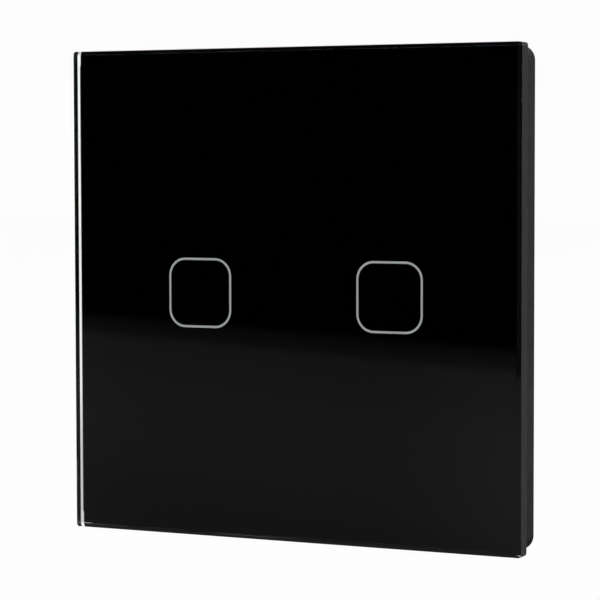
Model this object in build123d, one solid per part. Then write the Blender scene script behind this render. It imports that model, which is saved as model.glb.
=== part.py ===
from build123d import *
import math
import os

# Touch light switch with two keys behind a glass front, for an 86 mm wall box.
# X runs to the viewer's right, Z runs up and the front faces -Y. The wall is the plane y = 0.
# The origin is the middle of the two box screws, on the wall. All sizes are in millimetres.

# Glass front
panel_size = 86.0
glass_thickness = 3.8
glass_corner_radius = 0.7
front_arris = 0.6
rear_arris = 0.6

# Print on the back of the glass, and the two key outlines in it
print_thickness = 0.1
print_margin = 0.3
key_spacing = 36.6
ring_size = 12.0
ring_radius = 3.0
ring_line = 0.4

# Moulded frame behind the glass, and the tape between them
tape_thickness = 0.2
tape_width = 5.6
tape_gap = 0.6
frame_inset = 0.35
frame_corner_radius = 2.5
frame_wall = 1.3
frame_rear_radius = 0.4
ledge_thickness = 1.4
ledge_width = 6.7
ledge_head_gap = 0.6
ledge_opening_radius = 3.0
pry_notch_width = 12.0
pry_notch_depth = 1.4

# Snap hooks of the frame
hook_spacing = 34.0
hook_width = 6.0
hook_thickness = 1.3
hook_inset = 1.25
hook_root = 1.0
hook_reach = 4.0
hook_barb = 0.6
hook_barb_gap = 0.3
hook_tip = 0.7
hook_clearance = 0.35

# Steel mounting plate
plate_thickness = 1.2
plate_gap = 0.35
plate_corner_radius = 2.0
plate_window_lip = 3.0
plate_screw_margin = 4.0
box_screw_spacing = 60.3
box_slot_length = 7.0
box_slot_width = 4.2

# Screws into the wall box
box_screw_radius = 1.75
box_screw_neck_radius = 1.45
box_screw_length = 25.0
box_screw_tip = 0.6
box_head_radius = 3.2
box_head_height = 2.0
box_head_edge = 0.8

# Cross recess of every screw head
recess_width = 0.9
recess_edge = 0.8

# Carrier of the touch board, in front of the plate
carrier_floor = 0.8
carrier_rim = 0.8
carrier_corner_radius = 1.2
peg_radius = 0.9
peg_rise = 0.4
peg_spacing_x = 15.0
peg_spacing_z = 45.0

# Screws through the carrier and the plate into the housing
carrier_screw_radius = 1.2
carrier_screw_length = 8.0
carrier_head_radius = 2.2
carrier_head_height = 1.3
carrier_head_edge = 0.4

# Touch board and what stands on it
touch_board_thickness = 0.8
board_margin = 0.1
board_clearance = 0.2
notch_clearance = 2.0
guide_line = 1.2
guide_gap = 0.15
pad_size = 7.0
pad_radius = 1.5
pad_gap = 0.1
led_length = 1.6
led_width = 0.8
led_height = 0.6
led_gap = 0.15
touch_chip_length = 6.2
touch_chip_width = 3.9
touch_chip_height = 1.0
touch_chip_clearance = 0.3
touch_chip_rise = 5.0
chip_leg_pitch = 1.27
chip_leg_width = 0.4
chip_leg_length = 0.9
chip_leg_height = 0.3
chip_legs_per_side = 4
resistor_length = 1.6
resistor_width = 0.8
resistor_height = 0.45
resistor_pitch = 2.4
resistors_per_row = 5
resistor_row_drop = 3.4
resistor_rows = 2

# Plug-in header between the two boards
header_pin_count = 8
header_pitch = 2.0
header_width = 2.2
header_pin = 0.5
header_tail = 0.4
header_insertion = 2.7
socket_height = 4.5
socket_width = 3.0
socket_hole = 0.7
socket_hole_spare = 0.5
header_gap = 0.3

# Moulded housing that goes into the wall box
module_width = 51.0
module_depth = 27.0
housing_wall = 1.6
housing_corner_radius = 2.0
housing_rear_radius = 0.8
boss_radius = 2.8
boss_inset = 1.4
boss_floor = 0.8
boss_hole_spare = 0.6
thread_clearance = 0.05
screw_hole_clearance = 0.3
board_rib = 1.2
board_rib_spacing = 18.0
vent_count = 7
vent_width = 1.4
vent_length = 13.0
vent_pitch = 3.6
vent_rise = 10.0
top_vent_inset = 8.0

# Insulating tray between the plate and the mains board
tray_gap = 0.3
tray_plate = 1.0
tray_rim = 1.0
inner_clearance = 0.2

# Mains board
power_board_depth = 6.0
power_board_thickness = 1.6
lead_radius = 0.3
lead_clearance = 0.15
lead_tail = 1.2

# Relays
relay_length = 17.8
relay_width = 10.1
relay_height = 12.3
relay_side_gap = 2.0
relay_gap = 1.1
relay_top_gap = 1.1
relay_base_thickness = 1.2
relay_wall = 0.6
relay_inner_gap = 0.35
relay_pin_radius = 0.45
relay_pin_shares = ((-0.42, -0.33), (-0.42, 0.33), (0.42, -0.33), (0.42, 0.33))
coil_flange = 0.8
coil_flange_lip = 0.7
core_radius = 1.2
core_rise = 0.3
iron_thickness = 0.8
iron_side_gap = 1.25
iron_gap = 0.1
iron_reach = 0.6
armature_gap = 0.5
armature_thickness = 0.9
armature_side_gap = 0.95
armature_foot = 0.8
armature_head = 0.3
contact_arm_length = 4.6
contact_arm_thickness = 0.5
contact_end_gap = 0.4
contact_width = 3.0
contact_post = 1.2
contact_inset = 0.7
contact_button_radius = 0.5
contact_button_height = 0.2
contact_gap = 0.45

# Other parts on the mains board
storage_radius = 5.0
storage_back_gap = 3.8
output_radius = 3.15
output_height = 9.0
capacitor_edge = 0.5
filter_length = 13.0
filter_width = 5.0
filter_height = 11.0
fuse_length = 8.4
fuse_width = 4.3
fuse_height = 7.6
varistor_radius = 4.5
varistor_thickness = 3.6
varistor_rise = 0.6
core_length = 13.0
core_height = 12.0
core_depth = 5.0
core_leg = 1.8
core_yoke = 2.0
winding_depth = 11.0
winding_gap = 0.1
choke_radius = 3.5
choke_height = 9.0
choke_flange = 1.2
choke_waist = 2.6
power_chip_length = 5.0
power_chip_width = 4.0
power_chip_height = 1.5
component_place_shares = {
    "storage_capacitor": (-0.64, 0.635),
    "output_capacitor": (-0.72, 0.205),
    "filter_capacitor": (-0.12, 0.19),
    "fuse": (0.47, 0.205),
    "varistor": (0.58, 0.47),
    "transformer": (-0.03, 0.635),
    "choke": (0.56, 0.79),
    "power_chip": (-0.48, 0.39),
}

# Terminal block
pole_count = 4
pole_pitch = 10.8
block_end = 2.4
block_clearance = 0.2
block_wall = 1.6
block_back_wall = 1.3
block_edge = 0.4
shoulder_thickness = 1.0
cover_seam = 0.2
pocket_radius = 3.1

# Terminal screws
terminal_screw_radius = 1.75
terminal_head_radius = 2.6
terminal_head_height = 2.0
terminal_head_edge = 0.3
terminal_head_gap = 0.1
shank_clearance = 0.15

# Rising cages and the fixed bars
cage_width = 7.0
cage_length = 7.0
cage_wall = 1.0
cage_nut = 2.2
cage_clearance = 0.3
cage_board_gap = 0.4
wire_space = 3.2
nut_gap_share = 0.14
cage_rise_share = 0.35
bar_thickness = 1.0
bar_side_gap = 0.3
bar_tip_gap = 0.1
leg_width = 2.4
leg_thickness = 0.8
leg_gap = 0.8
leg_clearance = 0.2

# One overrun for every cut that goes right through
overrun = 0.5

# Depths from the wall, in front
plate_front_y = -plate_thickness
carrier_front_y = plate_front_y - carrier_floor
board_front_y = carrier_front_y - touch_board_thickness
print_back_y = board_front_y - touch_chip_height - touch_chip_clearance
glass_back_y = print_back_y - print_thickness
glass_front_y = glass_back_y - glass_thickness
frame_front_y = print_back_y + tape_thickness
ledge_back_y = frame_front_y + ledge_thickness

# Depths behind the wall
power_board_back_y = power_board_depth + power_board_thickness
socket_mouth_y = power_board_depth - socket_height
inner_back_y = module_depth - housing_wall
storage_height = inner_back_y - power_board_back_y - storage_back_gap
screw_tip_y = carrier_front_y + carrier_screw_length
boss_end_y = screw_tip_y + boss_hole_spare + boss_floor

# Widths that follow from the sizes above
frame_size = panel_size - 2 * frame_inset
frame_inner_size = frame_size - 2 * frame_wall
ledge_opening = frame_inner_size - 2 * ledge_width
plate_size = frame_inner_size - 2 * plate_gap
print_size = panel_size - 2 * rear_arris - 2 * print_margin
board_size = key_spacing + ring_size + guide_line + 2 * board_margin
carrier_inner_size = board_size + 2 * board_clearance
carrier_size = carrier_inner_size + 2 * carrier_rim
module_half = module_width / 2
inner_half = module_half - housing_wall
inner_size = 2 * (inner_half - inner_clearance)
screw_offset = module_half - boss_radius - boss_inset
hook_inner_z = ledge_opening / 2 - hook_inset
hook_outer_z = hook_inner_z + hook_thickness
header_length = header_pin_count * header_pitch
key_places = (-key_spacing / 2, key_spacing / 2)
corner_places = [(x, z) for x in (-screw_offset, screw_offset) for z in (-screw_offset, screw_offset)]

# Terminal stations, from the board to the pocket's mouth. What the fixed sizes leave of the block's
# depth is shared between the nut's gap, the cage's rise and the pocket.
cage_front_y = power_board_back_y + cage_board_gap
bar_front_y = cage_front_y + cage_wall + wire_space
bar_back_y = bar_front_y + bar_thickness
head_room = shoulder_thickness + terminal_head_gap + terminal_head_height
terminal_spare = module_depth - bar_back_y - cage_nut - head_room
nut_front_y = bar_back_y + nut_gap_share * terminal_spare
cage_back_y = nut_front_y + cage_nut
shoulder_front_y = cage_back_y + cage_rise_share * terminal_spare
shoulder_back_y = shoulder_front_y + shoulder_thickness
head_front_y = shoulder_back_y + terminal_head_gap
head_back_y = head_front_y + terminal_head_height
cavity_half = cage_width / 2 + cage_clearance
block_bottom_z = -module_half
cavity_bottom_z = block_bottom_z + block_wall
cage_bottom_z = cavity_bottom_z + cage_clearance
cage_top_z = cage_bottom_z + cage_length
cage_centre_z = (cage_bottom_z + cage_top_z) / 2
leg_bottom_z = cage_top_z + leg_gap
leg_top_z = leg_bottom_z + leg_thickness
wire_centre_y = bar_front_y - wire_space / 2
bar_half = cage_width / 2 - cage_wall - bar_side_gap
pole_places = [(number - (pole_count - 1) / 2) * pole_pitch for number in range(pole_count)]
block_top_z = leg_top_z + leg_clearance + block_back_wall
block_width = (pole_count - 1) * pole_pitch + 2 * cavity_half + 2 * block_end

# Relay stations
relay_front_y = power_board_back_y
relay_floor_y = relay_front_y + relay_base_thickness
relay_back_y = relay_front_y + relay_height
relay_centre_z = block_top_z + relay_gap + relay_width / 2
relay_top_z = relay_centre_z + relay_width / 2
relay_place = (relay_length + relay_side_gap) / 2
relay_places = (-relay_place, relay_place)
relay_inner_half = relay_width / 2 - relay_wall
flange_half = relay_inner_half - relay_inner_gap
iron_back_y = relay_back_y - relay_wall - relay_top_gap - armature_head
iron_front_y = iron_back_y - iron_thickness
flange_back_y = iron_front_y - iron_gap
coil_centre_y = (relay_floor_y + flange_back_y) / 2
coil_radius = min(flange_half, flange_back_y - coil_centre_y) - coil_flange_lip
coil_start_x = -relay_length / 2 + relay_wall + iron_gap + iron_thickness
arm_end_x = relay_length / 2 - relay_wall - contact_end_gap
armature_x = arm_end_x - contact_arm_length - armature_thickness
coil_end_x = armature_x - armature_gap - core_rise
pivot_y = iron_front_y + iron_thickness / 2
arm_front_y = pivot_y - contact_arm_thickness
contact_x = arm_end_x - contact_inset - contact_post / 2

# The header stands midway between the bars' legs and the relays' lower pins
relay_pins_z = relay_centre_z + min(z_share for x_share, z_share in relay_pin_shares) * relay_width
header_drop = -(leg_top_z + relay_pins_z - relay_pin_radius) / 2


def slab(x_range, y_range, z_range):
    """A block between two corners."""
    spans = (x_range, y_range, z_range)
    middle = [(low + high) / 2 for low, high in spans]
    return Pos(*middle) * Box(*[high - low for low, high in spans])


def prism(outline, front_y, back_y):
    """An outline drawn as seen from the front, made solid between two depths."""
    plane = Plane(origin=(0, back_y, 0), x_dir=(1, 0, 0), z_dir=(0, -1, 0))
    return extrude(plane * outline, amount=back_y - front_y)


def rounded(width, height, radius):
    return RectangleRounded(width, height, radius)


def cross(size, depth_front_y, depth_back_y, x, z):
    """The cross recess of a screw head."""
    outline = Rectangle(size, recess_width) + Rectangle(recess_width, size)
    return prism(Pos(x, z) * outline, depth_front_y, depth_back_y)


def notched_square(size, notch_start):
    """A square board outline with its four corners cut back to clear the screws or bosses."""
    notch = size / 2 - notch_start
    outline = Rectangle(size, size)
    middle = size / 2 - notch / 2
    for x in (-middle, middle):
        for z in (-middle, middle):
            outline -= Pos(x, z) * Rectangle(notch, notch)
    return outline


def ring_outline(line):
    """One key outline as a closed rounded square of the given line width."""
    outer = rounded(ring_size + line, ring_size + line, ring_radius + line / 2)
    inner = rounded(ring_size - line, ring_size - line, ring_radius - line / 2)
    return outer - inner


# Glass front and its print

def glass_panel():
    outline = rounded(panel_size, panel_size, glass_corner_radius)
    body = prism(outline, glass_front_y, glass_back_y)
    body = chamfer(body.faces().sort_by(Axis.Y)[0].edges(), front_arris)
    return chamfer(body.faces().sort_by(Axis.Y)[-1].edges(), rear_arris)


def black_print():
    outline = Rectangle(print_size, print_size)
    for x in key_places:
        outline -= Pos(x, 0) * ring_outline(ring_line)
    return prism(outline, glass_back_y, print_back_y)


def key_ring(x):
    return prism(Pos(x, 0) * ring_outline(ring_line), glass_back_y, print_back_y)


def panel_tape():
    ledge_middle = (ledge_opening / 2 + frame_size / 2) / 2
    long_strip = Rectangle(2 * ledge_middle + tape_width, tape_width)
    short_strip = Rectangle(tape_width, 2 * ledge_middle - tape_width - 2 * tape_gap)
    outline = Sketch()
    for place in (-ledge_middle, ledge_middle):
        outline += Pos(0, place) * long_strip
        outline += Pos(place, 0) * short_strip
    return prism(outline, print_back_y, frame_front_y)


# Frame behind the glass

def snap_hook():
    """The upper hook at the middle of the frame, with its barb facing outwards."""
    barb_front_y = hook_barb_gap
    points = [
        (frame_front_y, hook_inner_z),
        (hook_reach, hook_inner_z),
        (hook_reach, hook_inner_z + hook_tip),
        (barb_front_y, hook_outer_z + hook_barb),
        (barb_front_y, hook_outer_z),
        (frame_front_y, hook_outer_z),
    ]
    arm = extrude(Plane.YZ * make_face(Polyline(*points, close=True)), amount=hook_width / 2, both=True)
    root = slab(
        (-hook_width / 2, hook_width / 2),
        (frame_front_y, ledge_back_y),
        (hook_inner_z, ledge_opening / 2 + hook_root),
    )
    return arm + root


def panel_frame():
    body = prism(rounded(frame_size, frame_size, frame_corner_radius), frame_front_y, 0)
    body = fillet(body.faces().sort_by(Axis.Y)[-1].edges(), frame_rear_radius)
    cavity = rounded(frame_inner_size, frame_inner_size, frame_corner_radius - frame_wall)
    body -= prism(cavity, ledge_back_y, overrun)
    opening = rounded(ledge_opening, ledge_opening, ledge_opening_radius)
    body -= prism(opening, frame_front_y - overrun, ledge_back_y + overrun)
    # On a smaller panel the ledge reaches the box screws, so it keeps clear of their heads
    for x in (-box_screw_spacing / 2, box_screw_spacing / 2):
        head_room_outline = Circle(box_head_radius + ledge_head_gap)
        body -= prism(Pos(x, 0) * head_room_outline, frame_front_y - overrun, ledge_back_y + overrun)
    body -= slab(
        (-pry_notch_width / 2, pry_notch_width / 2),
        (-pry_notch_depth, overrun),
        (-frame_size / 2 - overrun, -frame_inner_size / 2 + overrun),
    )
    hook = snap_hook()
    for x in (-hook_spacing / 2, hook_spacing / 2):
        body += Pos(x, 0, 0) * hook
        body += Pos(x, 0, 0) * mirror(hook, about=Plane.XY)
    return body


# Mounting plate and its screws

def window_outline():
    """The plate's window, with its corners cut so that steel stays round the carrier screws."""
    half = module_half - plate_window_lip
    corner = math.sqrt(2) * plate_screw_margin + 2 * (half - screw_offset)
    points = []
    for x_side, z_side in ((1, 1), (-1, 1), (-1, -1), (1, -1)):
        pair = [(x_side * half, z_side * (half - corner)), (x_side * (half - corner), z_side * half)]
        points += pair if x_side == z_side else reversed(pair)
    return make_face(Polyline(*points, close=True))


def mounting_plate():
    outline = rounded(plate_size, plate_size, plate_corner_radius) - window_outline()
    slot = SlotOverall(box_slot_length, box_slot_width)
    hook_slot_depth = hook_thickness + hook_barb + 2 * hook_clearance
    hook_slot = Rectangle(hook_width + 2 * hook_clearance, hook_slot_depth)
    hook_slot_z = hook_inner_z - hook_clearance + hook_slot_depth / 2
    for side in (-1, 1):
        outline -= Pos(side * box_screw_spacing / 2, 0) * slot
        outline -= Pos(0, side * box_screw_spacing / 2) * Rot(0, 0, 90) * slot
        for x in (-hook_spacing / 2, hook_spacing / 2):
            outline -= Pos(x, side * hook_slot_z) * hook_slot
    for x, z in corner_places:
        outline -= Pos(x, z) * Circle(carrier_screw_radius + screw_hole_clearance)
    return prism(outline, plate_front_y, 0)


def mounting_screw(x):
    head_front_y = plate_front_y - box_head_height
    head = prism(Pos(x, 0) * Circle(box_head_radius), head_front_y, plate_front_y)
    head = fillet(head.edges().group_by(Axis.Y)[0], box_head_edge)
    recess_size = 2 * (box_head_radius - box_head_edge - recess_edge / 2)
    head -= cross(recess_size, head_front_y - overrun, head_front_y + box_head_height / 2, x, 0)
    neck = prism(Pos(x, 0) * Circle(box_screw_neck_radius), plate_front_y, 0)
    shank = prism(Pos(x, 0) * Circle(box_screw_radius), 0, plate_front_y + box_screw_length)
    shank = chamfer(shank.edges().group_by(Axis.Y)[-1], box_screw_tip)
    return head + neck + shank


# Carrier of the touch board

def peg_places():
    places = []
    for x in (-peg_spacing_x / 2, peg_spacing_x / 2):
        places += [(x, -peg_spacing_z / 2), (x, peg_spacing_z / 2)]
    return places


def board_carrier():
    body = prism(rounded(carrier_size, carrier_size, carrier_corner_radius), board_front_y, plate_front_y)
    tray = Rectangle(carrier_inner_size, carrier_inner_size)
    body -= prism(tray, board_front_y - overrun, carrier_front_y)
    window = Rectangle(header_length + 2 * header_gap, header_width + 2 * header_gap)
    body -= prism(Pos(0, -header_drop) * window, carrier_front_y - overrun, overrun)
    for x, z in corner_places:
        hole = Circle(carrier_screw_radius + screw_hole_clearance)
        body -= prism(Pos(x, z) * hole, carrier_front_y - overrun, overrun)
    for x, z in peg_places():
        body += prism(Pos(x, z) * Circle(peg_radius), board_front_y - peg_rise, carrier_front_y)
    return body


def carrier_screws():
    body = Part()
    head_front_y = carrier_front_y - carrier_head_height
    for x, z in corner_places:
        head = prism(Pos(x, z) * Circle(carrier_head_radius), head_front_y, carrier_front_y)
        head = fillet(head.edges().group_by(Axis.Y)[0], carrier_head_edge)
        recess_size = 2 * (carrier_head_radius - recess_edge)
        head -= cross(recess_size, head_front_y - overrun, head_front_y + carrier_head_height / 2, x, z)
        shank = prism(Pos(x, z) * Circle(carrier_screw_radius), carrier_front_y, screw_tip_y)
        body += head + chamfer(shank.edges().group_by(Axis.Y)[-1], carrier_screw_radius / 2)
    return body


# Touch board and what stands on it

def header_places():
    first = -(header_pin_count - 1) / 2
    return [((first + number) * header_pitch, -header_drop) for number in range(header_pin_count)]


def touch_board():
    outline = notched_square(board_size, screw_offset - carrier_head_radius - notch_clearance)
    for x, z in peg_places():
        outline -= Pos(x, z) * Circle(peg_radius + thread_clearance)
    for x, z in header_places():
        outline -= Pos(x, z) * Rectangle(socket_hole, socket_hole)
    return prism(outline, board_front_y, carrier_front_y)


def light_guide(x):
    return prism(Pos(x, 0) * ring_outline(guide_line), print_back_y + guide_gap, board_front_y)


def touch_pad(x):
    return prism(Pos(x, 0) * rounded(pad_size, pad_size, pad_radius), print_back_y + pad_gap, board_front_y)


def indicator_leds():
    outline = Sketch()
    led_z = (ring_size - guide_line) / 2 - led_gap - led_width / 2
    for x in key_places:
        for z in (-led_z, led_z):
            outline += Pos(x, z) * Rectangle(led_length, led_width)
    return prism(outline, board_front_y - led_height, board_front_y)


def chip(length, width, height, x, z, seat_y, toward):
    """A small chip with legs on its two long sides, standing on a board face."""
    top_y = seat_y + toward * height
    body = prism(Pos(x, z) * Rectangle(length, width), min(seat_y, top_y), max(seat_y, top_y))
    leg_top_y = seat_y + toward * chip_leg_height
    legs = Sketch()
    for number in range(chip_legs_per_side):
        leg_x = x + (number - (chip_legs_per_side - 1) / 2) * chip_leg_pitch
        legs += Pos(leg_x, z) * Rectangle(chip_leg_width, width + 2 * chip_leg_length)
    return body + prism(legs, min(seat_y, leg_top_y), max(seat_y, leg_top_y))


def touch_controller():
    return chip(
        touch_chip_length, touch_chip_width, touch_chip_height, 0, touch_chip_rise, board_front_y, -1
    )


def chip_resistors():
    outline = Sketch()
    for row in range(resistor_rows):
        for number in range(resistors_per_row):
            x = (number - (resistors_per_row - 1) / 2) * resistor_pitch
            z = -resistor_row_drop * (row + 1)
            outline += Pos(x, z) * Rectangle(resistor_width, resistor_length)
    return prism(outline, board_front_y - resistor_height, board_front_y)


# Header between the boards

def header_strip():
    outline = Pos(0, -header_drop) * Rectangle(header_length, header_width)
    for x, z in header_places():
        outline -= Pos(x, z) * Rectangle(header_pin, header_pin)
    return prism(outline, carrier_front_y, 0)


def header_pins():
    outline = Sketch()
    for x, z in header_places():
        outline += Pos(x, z) * Rectangle(header_pin, header_pin)
    return prism(outline, board_front_y - header_tail, socket_mouth_y + header_insertion)


def header_socket():
    body = prism(
        Pos(0, -header_drop) * Rectangle(header_length, socket_width), socket_mouth_y, power_board_depth
    )
    holes = Sketch()
    for x, z in header_places():
        holes += Pos(x, z) * Rectangle(socket_hole, socket_hole)
    hole_end_y = socket_mouth_y + header_insertion + socket_hole_spare
    return body - prism(holes, socket_mouth_y - overrun, hole_end_y)


# Housing, tray and mains board

def vent_slots():
    """Slots through the back wall, and a row of them through the top wall."""
    slot = Rot(0, 0, 90) * SlotOverall(vent_length, vent_width)
    slots = Part()
    for number in range(vent_count):
        x = (number - (vent_count - 1) / 2) * vent_pitch
        slots += prism(Pos(x, vent_rise) * slot, inner_back_y - overrun, module_depth + overrun)
        low_y = module_depth - top_vent_inset - vent_length / 2
        top_slot = Plane.XY.offset(inner_half - overrun) * Pos(x, low_y) * slot
        slots += extrude(top_slot, amount=housing_wall + 2 * overrun)
    return slots


def module_housing():
    outline = rounded(module_width, module_width, housing_corner_radius)
    body = prism(outline, 0, module_depth)
    body = fillet(body.faces().sort_by(Axis.Y)[-1].edges(), housing_rear_radius)
    body -= prism(Rectangle(2 * inner_half, 2 * inner_half), -overrun, inner_back_y)
    # The outline trims each boss to the housing's own corner
    for x, z in corner_places:
        boss_end = Circle(boss_radius) + Pos(
            math.copysign(boss_radius / 2, x), math.copysign(boss_radius / 2, z)
        ) * Rectangle(boss_radius, boss_radius)
        body += prism(Pos(x, z) * boss_end, 0, boss_end_y)
        hole = Circle(carrier_screw_radius + thread_clearance)
        body -= prism(Pos(x, z) * hole, -overrun, screw_tip_y + boss_hole_spare)
    for side in (-1, 1):
        wall_x = sorted((side * inner_half, side * (inner_half - board_rib)))
        rib_z = board_rib_spacing / 2
        for z in (0, rib_z):
            rib = (z - board_rib / 2, z + board_rib / 2)
            body += slab(wall_x, (power_board_back_y, inner_back_y), rib)
        rib = (side * rib_z - board_rib / 2, side * rib_z + board_rib / 2)
        body += slab(rib, (power_board_back_y, inner_back_y), (inner_half - board_rib, inner_half))
    block_half = block_width / 2 + block_clearance
    body -= slab(
        (-block_half, block_half),
        (power_board_back_y, module_depth + overrun),
        (-module_half - overrun, block_top_z + block_clearance),
    )
    return body - vent_slots()


def tray_outline():
    return notched_square(inner_size, screw_offset - boss_radius - inner_clearance)


def insulating_tray():
    outline = tray_outline()
    plate = prism(outline, tray_gap, tray_gap + tray_plate)
    inner = notched_square(
        inner_size - 2 * tray_rim, screw_offset - boss_radius - inner_clearance - tray_rim
    )
    rim = prism(outline - inner, tray_gap, power_board_depth)
    window = Pos(0, -header_drop) * Rectangle(header_length + 2 * header_gap, socket_width + 2 * header_gap)
    return plate + rim - prism(window, tray_gap - overrun, tray_gap + tray_plate + overrun)


def component_place(name):
    """A part's place across the housing, and up the room above the relays."""
    x_share, z_share = component_place_shares[name]
    return x_share * inner_half, relay_top_z + z_share * (inner_half - relay_top_z)


def lead_places():
    """Where component leads go through the mains board, and how far apart the two of a part are."""
    spacings = {
        "storage_capacitor": storage_radius,
        "output_capacitor": output_radius,
        "filter_capacitor": filter_length - filter_width / 2,
        "fuse": fuse_length - fuse_width / 2,
        "varistor": varistor_radius,
        "transformer": core_length - core_leg,
        "choke": choke_radius,
    }
    places = {}
    for name, spacing in spacings.items():
        x, z = component_place(name)
        places[name] = [(x - spacing / 2, z), (x + spacing / 2, z)]
    return places


def leads(name, seat_y):
    """Two wire leads from a part down through the mains board."""
    outline = Sketch()
    for x, z in lead_places()[name]:
        outline += Pos(x, z) * Circle(lead_radius)
    return prism(outline, power_board_depth - lead_tail, seat_y)


def relay_pins():
    return [(x_share * relay_length, z_share * relay_width) for x_share, z_share in relay_pin_shares]


def power_board():
    outline = tray_outline()
    for pair in lead_places().values():
        for x, z in pair:
            outline -= Pos(x, z) * Circle(lead_radius + lead_clearance)
    for relay_x in relay_places:
        for x, z in relay_pins():
            hole = Circle(relay_pin_radius + lead_clearance)
            outline -= Pos(relay_x + x, relay_centre_z + z) * hole
    for x in pole_places:
        slot = Rectangle(leg_width + 2 * leg_clearance, leg_thickness + 2 * leg_clearance)
        outline -= Pos(x, (leg_bottom_z + leg_top_z) / 2) * slot
    return prism(outline, power_board_depth, power_board_back_y)


# Relays, each drawn about its own middle and then moved to its place

def relay_base():
    body = prism(Rectangle(relay_length, relay_width), relay_front_y, relay_floor_y)
    pins = Sketch()
    for x, z in relay_pins():
        pins += Pos(x, z) * Circle(relay_pin_radius)
    return body + prism(pins, power_board_depth - lead_tail, relay_front_y)


def relay_case():
    body = prism(Rectangle(relay_length, relay_width), relay_floor_y, relay_back_y)
    inner = Rectangle(relay_length - 2 * relay_wall, relay_width - 2 * relay_wall)
    return body - prism(inner, relay_floor_y - overrun, relay_back_y - relay_wall)


def rod_along_x(radius, start_x, end_x, y):
    plane = Plane(origin=(start_x, y, 0), x_dir=(0, 1, 0), z_dir=(1, 0, 0))
    return extrude(plane * Circle(radius), amount=end_x - start_x)


def relay_coil():
    body = rod_along_x(coil_radius, coil_start_x, coil_end_x, coil_centre_y)
    body += rod_along_x(core_radius, coil_end_x, coil_end_x + core_rise, coil_centre_y)
    for start_x in (coil_start_x, coil_end_x - coil_flange):
        flange_x = (start_x, start_x + coil_flange)
        body += slab(flange_x, (relay_floor_y, flange_back_y), (-flange_half, flange_half))
    return body


def relay_frame():
    """The bent iron that carries the coil's field to the armature's pivot edge."""
    start_x = coil_start_x - iron_thickness
    half = relay_inner_half - iron_side_gap
    leg = slab((start_x, coil_start_x), (relay_floor_y, iron_front_y), (-half, half))
    arm = slab((start_x, coil_end_x + iron_reach), (iron_front_y, iron_back_y), (-half, half))
    return leg + arm


def relay_armature():
    half = relay_inner_half - armature_side_gap
    arm_start_x = armature_x + armature_thickness
    plate_y = (relay_floor_y + armature_foot, iron_back_y + armature_head)
    plate = slab((armature_x, arm_start_x), plate_y, (-half, half))
    arm = slab(
        (arm_start_x, arm_end_x),
        (arm_front_y, arm_front_y + contact_arm_thickness),
        (-contact_width / 2, contact_width / 2),
    )
    return plate + arm


def relay_contact():
    top_y = arm_front_y - contact_gap - contact_button_height
    post = slab(
        (contact_x - contact_post / 2, contact_x + contact_post / 2),
        (relay_floor_y, top_y),
        (-contact_width / 2, contact_width / 2),
    )
    button = Pos(contact_x, 0) * Circle(contact_button_radius)
    return post + prism(button, top_y, top_y + contact_button_height)


# Other parts on the mains board

def can(name, radius, height):
    """A round capacitor standing on the board."""
    x, z = component_place(name)
    body = prism(Pos(x, z) * Circle(radius), power_board_back_y, power_board_back_y + height)
    body = fillet(body.edges().group_by(Axis.Y)[-1], capacitor_edge)
    return body + leads(name, power_board_back_y)


def box_part(name, length, width, height):
    x, z = component_place(name)
    body = prism(Pos(x, z) * Rectangle(length, width), power_board_back_y, power_board_back_y + height)
    body = fillet(body.faces().sort_by(Axis.Y)[-1].edges(), capacitor_edge)
    return body + leads(name, power_board_back_y)


def varistor():
    x, z = component_place("varistor")
    centre_y = power_board_back_y + varistor_rise + varistor_radius
    plane = Plane(origin=(x, centre_y, z - varistor_thickness / 2), x_dir=(1, 0, 0), z_dir=(0, 0, 1))
    disc = extrude(plane * Circle(varistor_radius), amount=varistor_thickness)
    disc = fillet(disc.edges(), capacitor_edge)
    return disc + leads("varistor", centre_y)


def transformer_core():
    x, z = component_place("transformer")
    low_y = power_board_back_y
    high_y = low_y + core_height
    half = core_length / 2
    body = slab((x - half, x + half), (low_y, high_y), (z - core_depth / 2, z + core_depth / 2))
    for side in (-1, 1):
        window_x = sorted((x + side * core_leg, x + side * (half - core_leg)))
        window_z = (z - core_depth / 2 - overrun, z + core_depth / 2 + overrun)
        body -= slab(window_x, (low_y + core_yoke, high_y - core_yoke), window_z)
    return body + leads("transformer", low_y)


def transformer_winding():
    x, z = component_place("transformer")
    low_y = power_board_back_y + core_yoke + winding_gap
    high_y = power_board_back_y + core_height - core_yoke - winding_gap
    half = core_length / 2 - core_leg - winding_gap
    body = prism(Pos(x, z) * rounded(2 * half, winding_depth, core_leg), low_y, high_y)
    leg_half = core_leg + winding_gap
    leg_depth = core_depth / 2 + winding_gap
    leg_y = (low_y - overrun, high_y + overrun)
    return body - slab((x - leg_half, x + leg_half), leg_y, (z - leg_depth, z + leg_depth))


def choke():
    x, z = component_place("choke")
    low_y = power_board_back_y
    high_y = low_y + choke_height
    body = prism(Pos(x, z) * Circle(choke_waist), low_y, high_y)
    for start_y in (low_y, high_y - choke_flange):
        body += prism(Pos(x, z) * Circle(choke_radius), start_y, start_y + choke_flange)
    return body + leads("choke", low_y)


def power_chip():
    x, z = component_place("power_chip")
    return chip(power_chip_length, power_chip_width, power_chip_height, x, z, power_board_depth, -1)


# Terminal block

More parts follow.
